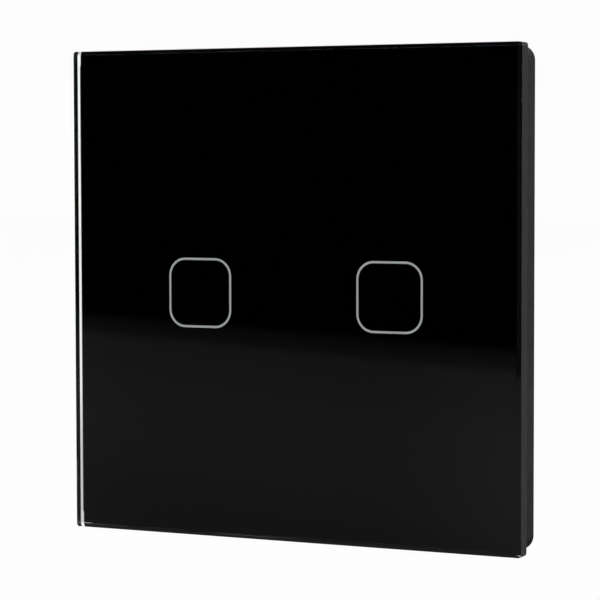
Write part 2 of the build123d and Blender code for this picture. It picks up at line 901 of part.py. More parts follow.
def terminal_block():
    """The block's body, with a chamber for each cage and a slot for each bar."""
    half = block_width / 2
    body = slab((-half, half), (power_board_back_y, shoulder_front_y), (block_bottom_z, block_top_z))
    for x in pole_places:
        body -= slab(
            (x - cavity_half, x + cavity_half),
            (power_board_back_y - overrun, shoulder_front_y + overrun),
            (cavity_bottom_z, cage_top_z + cage_clearance),
        )
        slot_half = bar_half + leg_clearance
        body -= slab(
            (x - slot_half, x + slot_half),
            (power_board_back_y - overrun, bar_back_y + leg_clearance),
            (cage_top_z, leg_top_z + leg_clearance),
        )
        wire_plane = Plane.XY.offset(block_bottom_z - overrun)
        entry = Pos(x, wire_centre_y) * Circle(wire_space / 2)
        body -= extrude(wire_plane * entry, amount=block_wall + 2 * overrun)
    return body


def terminal_cover():
    """One cover for each pole, side by side. They close the chambers and guide a screwdriver to each screw."""
    pole_half = (pole_pitch - cover_seam) / 2
    body = Part()
    for x in pole_places:
        low_x = -block_width / 2 if x == pole_places[0] else x - pole_half
        high_x = block_width / 2 if x == pole_places[-1] else x + pole_half
        cover = slab((low_x, high_x), (shoulder_front_y, module_depth), (block_bottom_z, block_top_z))
        cover = chamfer(cover.faces().sort_by(Axis.Y)[-1].edges(), block_edge)
        shank_hole = Pos(x, cage_centre_z) * Circle(terminal_screw_radius + shank_clearance)
        cover -= prism(shank_hole, shoulder_front_y - overrun, shoulder_back_y + overrun)
        pocket = Pos(x, cage_centre_z) * Circle(pocket_radius)
        cover -= prism(pocket, shoulder_back_y, module_depth + overrun)
        body += cover
    return body


def terminal_screw(x):
    head = prism(Pos(x, cage_centre_z) * Circle(terminal_head_radius), head_front_y, head_back_y)
    head = fillet(head.edges().group_by(Axis.Y)[-1], terminal_head_edge)
    recess_size = 2 * (terminal_head_radius - recess_edge)
    head -= cross(
        recess_size, head_back_y - terminal_head_height / 2, head_back_y + overrun, x, cage_centre_z
    )
    shank = Pos(x, cage_centre_z) * Circle(terminal_screw_radius)
    return head + prism(shank, bar_back_y + bar_tip_gap, head_front_y)


def clamp_cage(x):
    half = cage_width / 2
    body = slab((x - half, x + half), (cage_front_y, cage_back_y), (cage_bottom_z, cage_top_z))
    inner = half - cage_wall
    body -= slab(
        (x - inner, x + inner),
        (cage_front_y + cage_wall, nut_front_y),
        (cage_bottom_z - overrun, cage_top_z + overrun),
    )
    hole = Circle(terminal_screw_radius + thread_clearance)
    return body - prism(Pos(x, cage_centre_z) * hole, nut_front_y - overrun, cage_back_y + overrun)


def terminal_bars():
    body = Part()
    for x in pole_places:
        bar = slab((x - bar_half, x + bar_half), (bar_front_y, bar_back_y), (cage_bottom_z, leg_bottom_z))
        leg = slab(
            (x - leg_width / 2, x + leg_width / 2),
            (power_board_depth - lead_tail, bar_back_y),
            (leg_bottom_z, leg_top_z),
        )
        body += bar + leg
    return body


nodes = {
    "glass_panel": glass_panel(),
    "black_print": black_print(),
    "ring_left": key_ring(key_places[0]),
    "ring_right": key_ring(key_places[1]),
    "panel_tape": panel_tape(),
    "panel_frame": panel_frame(),
    "mounting_plate": mounting_plate(),
    "mounting_screw_left": mounting_screw(-box_screw_spacing / 2),
    "mounting_screw_right": mounting_screw(box_screw_spacing / 2),
    "board_carrier": board_carrier(),
    "carrier_screws": carrier_screws(),
    "touch_board": touch_board(),
    "touch_pad_left": touch_pad(key_places[0]),
    "touch_pad_right": touch_pad(key_places[1]),
    "light_guide_left": light_guide(key_places[0]),
    "light_guide_right": light_guide(key_places[1]),
    "indicator_leds": indicator_leds(),
    "touch_controller": touch_controller(),
    "chip_resistors": chip_resistors(),
    "header_strip": header_strip(),
    "header_pins": header_pins(),
    "header_socket": header_socket(),
    "module_housing": module_housing(),
    "insulating_tray": insulating_tray(),
    "power_board": power_board(),
    "storage_capacitor": can("storage_capacitor", storage_radius, storage_height),
    "output_capacitor": can("output_capacitor", output_radius, output_height),
    "filter_capacitor": box_part("filter_capacitor", filter_length, filter_width, filter_height),
    "fuse": box_part("fuse", fuse_length, fuse_width, fuse_height),
    "varistor": varistor(),
    "transformer_core": transformer_core(),
    "transformer_winding": transformer_winding(),
    "choke": choke(),
    "power_chip": power_chip(),
    "terminal_block": terminal_block(),
    "terminal_cover": terminal_cover(),
    "terminal_bars": terminal_bars(),
}

relay_pieces = {
    "base": relay_base(),
    "case": relay_case(),
    "coil": relay_coil(),
    "frame": relay_frame(),
    "armature": relay_armature(),
    "contact": relay_contact(),
}
for side, relay_x in zip(("left", "right"), relay_places):
    for piece, shape in relay_pieces.items():
        nodes[f"relay_{piece}_{side}"] = Pos(relay_x, 0, relay_centre_z) * shape

for number, pole_x in enumerate(pole_places, start=1):
    nodes[f"terminal_screw_{number}"] = terminal_screw(pole_x)
    nodes[f"clamp_cage_{number}"] = clamp_cage(pole_x)

os.makedirs("parts", exist_ok=True)
for name, shape in nodes.items():
    export_step(shape, f"parts/{name}.step")
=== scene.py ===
"""Touch light switch with two keys behind a glass front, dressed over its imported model.

X runs to the viewer's right and Z runs up. The front faces -Y and the wall is the plane y = 0.
All sizes are in metres.
"""

import math

import bmesh
import bpy
from bpy.props import FloatProperty, FloatVectorProperty, IntProperty, PointerProperty
from bpy.types import Operator, Panel, PropertyGroup
from mathutils import Matrix, Vector


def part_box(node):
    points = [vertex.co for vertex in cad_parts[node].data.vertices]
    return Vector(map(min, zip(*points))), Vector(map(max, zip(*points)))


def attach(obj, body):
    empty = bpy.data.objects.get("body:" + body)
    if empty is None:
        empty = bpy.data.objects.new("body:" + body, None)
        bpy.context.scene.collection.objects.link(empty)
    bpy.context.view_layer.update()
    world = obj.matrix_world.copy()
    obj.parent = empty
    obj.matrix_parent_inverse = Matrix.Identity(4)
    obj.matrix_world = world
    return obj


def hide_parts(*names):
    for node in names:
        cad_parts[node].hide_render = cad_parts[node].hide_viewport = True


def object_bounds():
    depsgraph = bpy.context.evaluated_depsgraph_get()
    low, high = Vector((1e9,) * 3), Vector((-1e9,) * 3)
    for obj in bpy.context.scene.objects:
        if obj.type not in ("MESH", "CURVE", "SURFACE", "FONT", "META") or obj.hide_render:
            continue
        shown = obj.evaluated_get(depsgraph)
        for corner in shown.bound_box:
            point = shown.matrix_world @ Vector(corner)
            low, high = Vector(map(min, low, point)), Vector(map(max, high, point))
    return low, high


bl_info = {
    "name": "Touch light switch",
    "version": (1, 0, 0),
    "blender": (4, 5, 0),
    "location": "3D View > Sidebar > Touch switch",
    "description": "Dresses the packed model of a touch light switch with a glass front",
    "category": "Object",
}

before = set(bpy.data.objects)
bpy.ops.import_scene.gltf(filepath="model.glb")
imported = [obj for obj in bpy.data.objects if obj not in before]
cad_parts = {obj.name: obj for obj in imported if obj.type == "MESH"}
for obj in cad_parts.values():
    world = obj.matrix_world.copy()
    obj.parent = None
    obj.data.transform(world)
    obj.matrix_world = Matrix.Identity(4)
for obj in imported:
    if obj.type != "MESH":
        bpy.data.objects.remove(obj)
cad_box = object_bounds()
MM = 0.001


def length(name, description, default, **limits):
    return FloatProperty(
        name=name, description=description, default=default, unit="LENGTH", precision=6, **limits
    )


def share(name, description, default):
    return FloatProperty(
        name=name, description=description, default=default, min=0.0, max=1.0, subtype="FACTOR"
    )


def angle(name, description, degrees):
    return FloatProperty(
        name=name, description=description, default=math.radians(degrees), subtype="ANGLE"
    )


def power(name, default):
    return FloatProperty(
        name=name + " power", description=f"Power of the {name.lower()} lamp", default=default, min=0.0,
        unit="POWER",
    )


def colour(name, thing, *default):
    return FloatVectorProperty(
        name=name, description=f"Colour of {thing}", default=default, min=0.0, max=1.0, size=3,
        subtype="COLOR",
    )


# Settings


class SwitchViewSettings(PropertyGroup):
    """Where the camera stands and how it looks at the switch."""

    place: FloatVectorProperty(
        name="Place", description="Where the camera stands", size=3, subtype="TRANSLATION", unit="LENGTH",
        precision=6, default=(0.1860435, -0.388975, 0.0239788),
    )
    heading: angle("Heading", "Turn to the left of straight ahead", 25.7255)
    tilt: angle("Tilt", "Tilt below the horizon", 3.3360)
    roll: angle("Roll", "Turn about the line of sight", -0.1286)
    focal_length: FloatProperty(
        name="Focal length", description="Lens, in millimetres on a 36 mm sensor", default=147.015, min=1.0
    )


class SwitchStudioSettings(PropertyGroup):
    """Floor, cards, lamps and the light all round."""

    floor_drop: length("Floor drop", "Gap between the switch and the floor", 0.028, min=0.0)
    floor_half: length("Floor half width", "Half the width of the floor", 3.0, min=0.5)
    floor_colour: colour("Floor colour", "the floor", 0.9, 0.9, 0.9)
    floor_whiteness: share("Floor whiteness", "How much of the floor shows as the white background", 0.95)
    floor_mirrored: share("Floor mirrored", "Brightness of that white in mirrors and through glass", 0.62)
    floor_dim_end: length("Dim floor end", "How far behind the wall the mirrored floor is white", 0.55)
    backdrop: share("Backdrop", "Brightness of the white background", 0.978)
    air_level: share("Air level", "Soft light from all round", 0.5)
    key_power: power("Key", 9.0)
    fill_power: power("Fill", 3.0)
    rear_power: power("Rear", 6.0)
    table_glow: share("Table glow", "Brightness of the table card that the glass mirrors", 0.23)
    right_glow: share("Right card", "Brightness of the card behind on the right", 0.23)
    side_glow: share("Side card", "Brightness of the card on the right", 0.07)
    near_glow: share("Near table", "Brightness of the table card close under the glass", 0.14)
    table_end: length("Table fade end", "Distance in front at which the table card has faded to black", 0.6)


class SwitchGlassSettings(PropertyGroup):
    """The toughened glass front."""

    corner_radius: length("Corner radius", "Radius of the corners seen from the front", 0.5 * MM, min=0.0)
    arris: length("Front slope", "Width of the polished slope along the front edges", 0.6 * MM, min=0.0)
    rear_arris: length("Rear slope", "Width of the polished slope along the rear edges", 0.47 * MM, min=0.0)
    softness: length("Softness", "Radius where the faces meet", 0.05 * MM, min=0.0)
    bond: length("Bond", "How far the glass reaches into the print that is fired on it", 0.01 * MM, min=0.0)
    tint: colour("Tint", "the glass", 0.985, 0.995, 0.99)
    depth_tint: colour("Depth tint", "light that has gone far through the pane", 0.78, 0.94, 0.87)
    depth_density: FloatProperty(
        name="Depth density", description="How fast the pane colours light, per metre", default=10.0, min=0.0
    )
    ground_roughness: share("Ground roughness", "Roughness of the ground side faces", 0.15)


class SwitchPanelSettings(PropertyGroup):
    """Print, tape and frame behind the glass."""

    black_print: colour("Black print", "the fired black print", 0.0006, 0.0006, 0.0007)
    pale_print: colour("Pale print", "the key outlines", 0.86, 0.885, 0.9)
    # The key outlines' glow is painted light: an emission in the print's own colour, with no lamp behind it.
    pale_painted_glow: share("Pale glow", "Light that the key outlines let through from behind", 0.08)
    outline_width: length("Outline width", "Width of the line of a key outline", 0.4 * MM, min=0.1 * MM)
    outline_radius: length("Outline radius", "Corner radius of a key outline", 3.0 * MM, min=0.0)
    frame_plastic: colour("Frame plastic", "the moulded frame", 0.013, 0.013, 0.014)
    tape: colour("Tape", "the foam tape", 0.045, 0.045, 0.047)
    grain_depth: length("Grain depth", "Depth of the moulded texture", 0.006 * MM, min=0.0)
    edge_softness: length("Edge softness", "Radius of the moulded edges", 0.12 * MM, min=0.0)


class SwitchMetalSettings(PropertyGroup):
    """Plate, screws, cages, bars and pins."""

    zinc: colour("Zinc", "the zinc plate", 0.62, 0.63, 0.64)
    screw_steel: colour("Screw steel", "the plated screws", 0.66, 0.64, 0.58)
    dark_steel: colour("Dark steel", "the dark screws", 0.085, 0.085, 0.09)
    tin: colour("Tin", "solder and tinned metal", 0.72, 0.71, 0.69)
    gilt: colour("Gilt", "the header pins", 0.86, 0.64, 0.28)
    brass: colour("Brass", "the relay contacts", 0.78, 0.6, 0.32)
    iron: colour("Iron", "the plated relay iron", 0.55, 0.55, 0.56)
    thread_pitch: length("Thread pitch", "Rise of one turn of the box screws", 0.6 * MM, min=0.1 * MM)
    thread_depth: length("Thread depth", "Depth of the thread", 0.36 * MM, min=0.0)
    thread_steps: IntProperty(name="Thread steps", description="Steps in one turn", default=28, min=8, max=96)


class SwitchTouchSettings(PropertyGroup):
    """Touch board, its tracks, pads, light guides and small parts."""

    mask: colour("Solder mask", "the black solder mask", 0.010, 0.010, 0.012)
    track: colour("Track", "a track under the mask", 0.022, 0.022, 0.024)
    track_width: length("Track width", "Width of a signal track", 0.3 * MM, min=0.05 * MM)
    track_rise: length("Track rise", "Height of a track above the board", 0.03 * MM, min=0.0)
    hatch_pitch: length("Hatch pitch", "Spacing of the hatched earth copper", 1.3 * MM, min=0.2 * MM)
    hatch_width: length("Hatch width", "Width of a line of the earth copper", 0.25 * MM, min=0.05 * MM)
    foam: colour("Foam", "the conductive foam", 0.075, 0.075, 0.08)
    pad_crown: length("Pad crown", "How far the middle of a pad stands above its rim", 0.12 * MM, min=0.0)
    guide: colour("Light guide", "the milky light guides", 0.84, 0.86, 0.87)
    phosphor: colour("Phosphor", "the light source under its clear cap", 0.9, 0.78, 0.28)
    chip: colour("Chip", "the moulded chips", 0.022, 0.022, 0.023)


class SwitchMainsSettings(PropertyGroup):
    """Housing, tray, terminals, power board, its parts and the relays."""

    housing: colour("Housing", "the moulded housing", 0.032, 0.032, 0.034)
    tray: colour("Tray", "the insulating tray", 0.74, 0.74, 0.72)
    terminal: colour("Terminal", "the terminal block", 0.19, 0.19, 0.195)
    board: colour("Board", "the green solder mask", 0.03, 0.17, 0.06)
    sleeve: colour("Sleeve", "the capacitor sleeves", 0.018, 0.022, 0.05)
    film_case: colour("Film case", "the film capacitor", 0.74, 0.52, 0.06)
    fuse_case: colour("Fuse case", "the fuse", 0.11, 0.09, 0.085)
    varistor: colour("Varistor", "the dipped varistor", 0.045, 0.12, 0.42)
    ferrite: colour("Ferrite", "the cores", 0.06, 0.058, 0.062)
    winding: colour("Winding", "the tape on the winding", 0.7, 0.52, 0.06)
    relay_case: colour("Relay case", "the relay cases", 0.035, 0.11, 0.32)
    relay_base: colour("Relay base", "the relay bases", 0.028, 0.028, 0.03)
    copper: colour("Copper", "the enamelled wire", 0.52, 0.19, 0.07)

# Node trees


class Nodes:
    """A node tree, the place on the piece that its patterns follow, and the moves that build it."""

    def __init__(self, tree):
        self.tree = tree
        self.place = self.add("ShaderNodeTexCoord").outputs["Object"]

    def join(self, value, socket):
        """Puts a value or the output of another node into a socket."""
        if isinstance(value, bpy.types.NodeSocket):
            self.tree.links.new(value, socket)
        else:
            socket.default_value = value

    def add(self, kind, values=None, **choices):
        """A new node with these choices, and these values or outputs in its sockets."""
        node = self.tree.nodes.new(kind)
        for choice, value in choices.items():
            setattr(node, choice, value)
        for socket, value in (values or {}).items():
            self.join(value, node.inputs[socket])
        return node

    def end(self, socket, value):
        """Puts an output into the material's own output."""
        self.join(value, self.tree.nodes["Material Output"].inputs[socket])

    def axis(self, name):
        return self.add("ShaderNodeSeparateXYZ", {"Vector": self.place}).outputs[name]

    def calc(self, operation, first, second=0.0):
        return self.add("ShaderNodeMath", {0: first, 1: second}, operation=operation).outputs[0]

    def off(self, value, middle=0.0):
        """How far value lies from middle."""
        return self.calc("ABSOLUTE", self.calc("SUBTRACT", value, middle))

    def spread(self, source, low, high, start=0.3, end=0.7):
        """source from start to end becomes low to high."""
        values = {"Value": source, "From Min": start, "From Max": end, "To Min": low, "To Max": high}
        return self.add("ShaderNodeMapRange", values).outputs["Result"]

    def past(self, source, limit, soft=0.02 * MM):
        """1 where source is past limit, 0 below it."""
        return self.spread(source, 0.0, 1.0, limit - soft, limit + soft)

    def within(self, source, limit):
        """1 where source is below limit, 0 past it."""
        return self.calc("SUBTRACT", 1.0, self.past(source, limit))

    def ramp(self, source, stops):
        """Greys that follow source through (place, level) stops."""
        node = self.add("ShaderNodeValToRGB", {"Fac": source})
        steps = node.color_ramp.elements
        steps[0].position, steps[1].position = stops[0][0], stops[-1][0]
        for place, _ in stops[1:-1]:
            steps.new(place)
        for step, (_, grey) in zip(steps, stops):
            step.color = (grey, grey, grey, 1.0)
        return node.outputs["Color"]

    def rays(self, plain, white, mirrored):
        """plain for light on the object, white where seen directly, mirrored in mirrors and glass."""
        path = self.add("ShaderNodeLightPath")
        level = plain
        for kind, value in (("Glossy", mirrored), ("Transmission", mirrored), ("Camera", white)):
            level = self.spread(path.outputs[f"Is {kind} Ray"], level, value, 0.0, 1.0)
        return level


# Finishes


def lighter(tone, amount):
    return tuple(min(1.0, part * amount) for part in tone)


class Finish(Nodes):
    """A surface finish: one shader and the patterns that drive it, measured in metres on the piece."""

    def __init__(self, name, tone, roughness=0.5, metallic=0.0):
        self.material = bpy.data.materials.new(name)
        self.material.use_nodes = True
        super().__init__(self.material.node_tree)
        self.shader = self.tree.nodes["Principled BSDF"]
        self.tone = tuple(tone)
        self.set("Base Color", (*tone, 1.0))
        self.set("Roughness", roughness)
        self.set("Metallic", metallic)

    def set(self, socket, value):
        self.join(value, self.shader.inputs[socket])
        return self

    def stretched(self, x=1.0, y=1.0, z=1.0):
        """The piece's coordinates, drawn out along an axis."""
        return self.add("ShaderNodeMapping", {"Vector": self.place, "Scale": (x, y, z)}).outputs["Vector"]

    def mottle(self, size, detail=2.0, place=None):
        """Cloudy blotches of about this size, from 0 to 1."""
        values = {"Vector": place or self.place, "Scale": 1.0 / size, "Detail": detail}
        return self.add("ShaderNodeTexNoise", values).outputs["Fac"]

    def ridges(self, scale, distortion):
        """Close ridges, one after the other along Y, from 0 to 1."""
        values = {"Vector": self.place, "Scale": scale, "Distortion": distortion}
        return self.add("ShaderNodeTexWave", values, bands_direction="Y").outputs["Fac"]

    def mixed(self, amount, first, second):
        """first and second in the share that amount gives."""
        node = self.add("ShaderNodeMix", {0: amount}, data_type="RGBA")
        for value, socket in ((first, node.inputs[6]), (second, node.inputs[7])):
            self.join(value if isinstance(value, bpy.types.NodeSocket) else (*value, 1.0), socket)
        return node.outputs[2]

    def shades(self, pattern, dark, light):
        """The finish's own colour from dark to light, as a pattern gives."""
        return self.mixed(pattern, lighter(self.tone, dark), lighter(self.tone, light))

    def dapple(self, pattern, dark, light, smooth, rough):
        """Lets one pattern drive the colour and the roughness."""
        self.set("Base Color", self.shades(pattern, dark, light))
        return self.set("Roughness", self.spread(pattern, smooth, rough))

    def over(self, mask, tone):
        """Lays another colour over the finish where mask is 1."""
        under = self.shader.inputs["Base Color"].links[0].from_socket
        return self.set("Base Color", self.mixed(mask, under, tone))

    def tinned(self, mask, tin):
        """Bare metal where mask is 1."""
        return self.over(mask, tin).set("Metallic", mask)

    def edges(self, radius):
        """Softens the look of every edge."""
        return self.add("ShaderNodeBevel", {"Radius": radius}, samples=6).outputs["Normal"]

    def relief(self, height, depth, below=None):
        """Raises the surface by depth where height is 1."""
        values = {"Height": height, "Distance": depth}
        if below is not None:
            values["Normal"] = below
        return self.set("Normal", self.add("ShaderNodeBump", values).outputs["Normal"])

    def wear(self, edge_radius, amount):
        """amount along edges that hands and tools have rubbed, 0 on flat faces."""
        soft = self.add("ShaderNodeBevel", {"Radius": edge_radius}, samples=4).outputs["Normal"]
        flat = self.add("ShaderNodeNewGeometry").outputs["Normal"]
        turn = self.add("ShaderNodeVectorMath", {0: soft, 1: flat}, operation="DOT_PRODUCT").outputs["Value"]
        return self.spread(turn, amount, 0.0, 0.82, 0.99)


def moulded(name, tone, roughness=0.5, grain=0.14 * MM, depth=0.006 * MM, softness=0.12 * MM, scuffs=0.35):
    """Moulded plastic with a fine spark texture, faint flow marks and rubbed edges."""
    made = Finish(name, tone, roughness)
    made.set("Base Color", made.shades(made.mottle(9.0 * MM, 3.0), 0.86, 1.16))
    made.over(made.wear(softness * 2.5, scuffs), lighter(tone, 1.9))
    made.set("Roughness", made.spread(made.mottle(3.0 * MM, 4.0), roughness - 0.06, roughness + 0.07))
    return made.relief(made.mottle(grain), depth, made.edges(softness))


def glossy_moulding(name, tone, roughness=0.25, softness=0.15 * MM):
    """Smooth moulded plastic with faint sink marks and fine scratches."""
    made = Finish(name, tone, roughness)
    made.set("Base Color", made.shades(made.mottle(6.0 * MM), 0.92, 1.08))
    scratch = made.mottle(0.35 * MM, 3.0, made.stretched(y=0.12))
    made.set("Roughness", made.spread(scratch, roughness - 0.04, roughness + 0.1))
    return made.relief(made.mottle(2.5 * MM, 1.0), 0.02 * MM, made.edges(softness))


def plated(name, tone, roughness, along="X", softness=0.08 * MM, tint=(0.98, 0.99, 1.03), metallic=0.9):
    """Rolled and plated metal: drawn lines, cloudy plating and brighter rubbed edges."""
    made = Finish(name, tone, roughness, metallic)
    draw = [0.03 if axis == along else 1.0 for axis in "XYZ"]
    lines = made.mottle(0.16 * MM, 3.0, made.stretched(*draw))
    cloud = made.mottle(7.0 * MM, 5.0)
    bloom = made.mottle(0.5 * MM)
    streak = made.mottle(1.6 * MM, 4.0, made.stretched(*(part ** 0.6 for part in draw)))
    cool = tuple(part * share_kept for part, share_kept in zip(tone, tint))
    made.set("Base Color", made.mixed(cloud, lighter(tone, 0.94), lighter(cool, 1.05)))
    made.over(made.spread(streak, 0.0, 0.6), lighter(cool, 1.12))
    made.over(made.spread(lines, 0.0, 0.5), lighter(tone, 0.9))
    made.over(made.spread(bloom, 0.0, 0.35), lighter(cool, 1.1))
    made.over(made.wear(softness * 3.0, 0.6), lighter(tone, 1.3))
    uneven = made.spread(cloud, roughness - 0.02, roughness + 0.02)
    for pattern, low, high in ((streak, -0.03, 0.04), (lines, -0.02, 0.03)):
        uneven = made.calc("ADD", uneven, made.spread(pattern, low, high))
    made.set("Roughness", uneven)
    return made.relief(lines, 0.0016 * MM, made.edges(softness))


def foam(name, tone, cell, dark, light, smooth, depth):
    """Foam with open cells."""
    made = Finish(name, tone, 0.85)
    cells = made.add("ShaderNodeTexVoronoi", {"Vector": made.place, "Scale": 1.0 / cell}).outputs["Distance"]
    return made.dapple(cells, dark, light, smooth, 0.95).relief(cells, depth)


def legged_chip(name, tone, tin, node):
    """Moulded chip: epoxy body, and tinned legs past its sides along Z."""
    leg_length = 0.88 * MM
    middle, half = centred(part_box(node))
    made = Finish(name, tone, 0.55)
    legs = made.past(made.off(made.axis("Z"), middle.z), half.z - leg_length)
    grit = made.mottle(0.08 * MM, 3.0)
    made.set("Base Color", made.shades(grit, 0.7, 1.4)).tinned(legs, tin)
    made.set("Roughness", made.spread(legs, 0.58, 0.3, 0.0, 1.0))
    return made.relief(grit, 0.006 * MM, made.edges(0.08 * MM))


# Meshes


def centred(box):
    """The middle of a box and half its size."""
    low, high = box
    return (low + high) / 2, (high - low) / 2


def placed(points, y, x=0.0, z=0.0):
    """Points in X and Z, at this depth and round this middle."""
    return [(x + across, y, z + up) for across, up in points]


def rounded_square(half, radius, steps=8, half_z=None, pull=0.0):
    """Points of a rounded square in X and Z. pull draws its sides in between the corners."""
    half_z = half if half_z is None else half_z
    points = []
    for corner, (sx, sz) in enumerate(((1, 1), (-1, 1), (-1, -1), (1, -1))):
        for step in range(steps + 1):
            turn = math.pi / 2 * (corner + step / steps)
            x = sx * (half - radius) + radius * math.cos(turn)
            z = sz * (half_z - radius) + radius * math.sin(turn)
            in_x, in_z = 1 - pull * (1 - (z / half_z) ** 2), 1 - pull * (1 - (x / half) ** 2)
            points.append((x * in_x, z * in_z))
    return points


def eased(profile, radius):
    """The open profile with its inner points rounded to about this radius, in three steps each."""
    made = [profile[0]]
    for points in zip(profile, profile[1:], profile[2:]):
        before, here, after = map(Vector, points)
        into, out = before - here, after - here
        cut = min(radius, into.length * 0.45, out.length * 0.45)
        start, end = here + into.normalized() * cut, here + out.normalized() * cut
        for step in range(4):
            t = step / 3
            made.append(tuple(start * (1 - t) ** 2 + here * 2 * t * (1 - t) + end * t * t))
    made.append(profile[-1])
    return made


def skin(bm, rings, looped=False, finish_of=None):
    """Faces between rings of as many points each. A looped skin ends in its first ring, others get caps."""
    rows = [[bm.verts.new(point) for point in ring] for ring in rings]
    count = len(rows[0])
    if looped:
        rows.append(rows[0])
    for number, (low, high) in enumerate(zip(rows, rows[1:])):
        for place in range(count):
            beside = (place + 1) % count
            face = bm.faces.new((low[place], low[beside], high[beside], high[place]))
            face.material_index = finish_of(number) if finish_of else 0
    if not looped:
        bm.faces.new(rows[0][::-1])
        bm.faces.new(rows[-1])


def turned(bm, x, z, profile, steps):
    """A solid of revolution about the line through x and z, along Y, from (radius, y) points off the axis."""
    turns = [2 * math.pi * step / steps for step in range(steps)]
    circle = [(math.cos(turn), math.sin(turn)) for turn in turns]
    skin(bm, [placed([(radius * a, radius * b) for a, b in circle], y, x, z) for radius, y in profile])


def linked(name, bm):
    """The mesh as an object of the scene."""
    mesh = bpy.data.meshes.new(name)
    bm.to_mesh(mesh)
    bm.free()
    made = bpy.data.objects.new(name, mesh)
    bpy.context.scene.collection.objects.link(made)
    return made


def make_piece(name, bm, finishes, body, stands_for=(), crease=30.0):
    """Turns the mesh into a piece that rides on a body and takes its finish from a slot."""
    bmesh.ops.recalc_face_normals(bm, faces=bm.faces)
    piece = linked(name, bm)
    piece.data.shade_smooth()
    piece.data.set_sharp_from_angle(angle=math.radians(crease))
    for finish in finishes:
        piece.data.materials.append(finish.material)
    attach(piece, body)
    if stands_for:
        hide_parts(*stands_for)
    return piece


def carve(piece, bm):
    """Takes the shape in bm out of the piece."""
    bmesh.ops.recalc_face_normals(bm, faces=bm.faces)
    cutter = linked("cutter", bm)
    tool = piece.modifiers.new("recess", "BOOLEAN")
    tool.operation, tool.solver = "DIFFERENCE", "EXACT"
    tool.object, tool.use_self = cutter, True
    graph = bpy.context.evaluated_depsgraph_get()
    mesh = bpy.data.meshes.new_from_object(piece.evaluated_get(graph))
    piece.modifiers.clear()
    spent = piece.data
    piece.data = mesh
    bpy.data.meshes.remove(spent)
    bpy.data.objects.remove(cutter)


def dress(finish, *nodes):
    """Gives CAD nodes a finish."""
    for node in nodes:
        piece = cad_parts[node]
        if not piece.material_slots:
            piece.data.materials.append(None)
        for held in piece.material_slots:
            held.material = finish.material


def solids_of(node):
    """The boxes of the separate solids of a CAD node, as (lowest corner, highest corner)."""
    bm = bmesh.new()
    bm.from_mesh(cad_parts[node].data)
    bmesh.ops.remove_doubles(bm, verts=bm.verts, dist=0.001 * MM)
    left, boxes = set(bm.verts), []
    while left:
        todo, held = [left.pop()], []
        while todo:
            vert = todo.pop()
            held.append(vert.co.copy())
            for edge in vert.link_edges:
                other = edge.other_vert(vert)
                if other in left:
                    left.remove(other)
                    todo.append(other)
        boxes.append((Vector(map(min, *held)), Vector(map(max, *held))))
    bm.free()
    return sorted(boxes, key=lambda box: (round(box[0].z, 5), round(box[0].x, 5)))


def settings(name):
    return getattr(bpy.context.scene, "touch_switch_" + name)


class SwitchStep:
    """What every step of the build shares."""

    bl_options = {"REGISTER", "UNDO"}

    def execute(self, context):
        self.make()
        return {"FINISHED"}


# Stage


def card(name, corners, tone, kind="ShaderNodeEmission", **seen_by):
    """A flat card of the studio, seen only by the rays that are named. Returns its nodes and its shader."""
    bm = bmesh.new()
    bm.faces.new([bm.verts.new(corner) for corner in corners])
    made = linked(name, bm)
    for ray in ("camera", "diffuse", "glossy", "transmission", "volume_scatter", "shadow"):
        setattr(made, "visible_" + ray, seen_by.get(ray, False))
    material = bpy.data.materials.new(name)
    material.use_nodes = True
    nodes = Nodes(material.node_tree)
    nodes.tree.nodes.remove(nodes.tree.nodes["Principled BSDF"])
    shader = nodes.add(kind, {"Color": (*tone, 1.0)})
    nodes.end("Surface", shader.outputs[0])
    made.data.materials.append(material)
    return nodes, shader


def level_card(x, y, z):
    """Corners of a level card between two places in X and two in Y."""
    return [(x[0], y[0], z), (x[1], y[0], z), (x[1], y[1], z), (x[0], y[1], z)]


def upright_card(middle, half, low, high):
    """Corners of an upright card that faces the switch."""
    x, y = middle
    aside = Vector((-y, x)).normalized() * half
    left, right = (x - aside.x, y - aside.y), (x + aside.x, y + aside.y)
    return [(*left, low), (*right, low), (*right, high), (*left, high)]


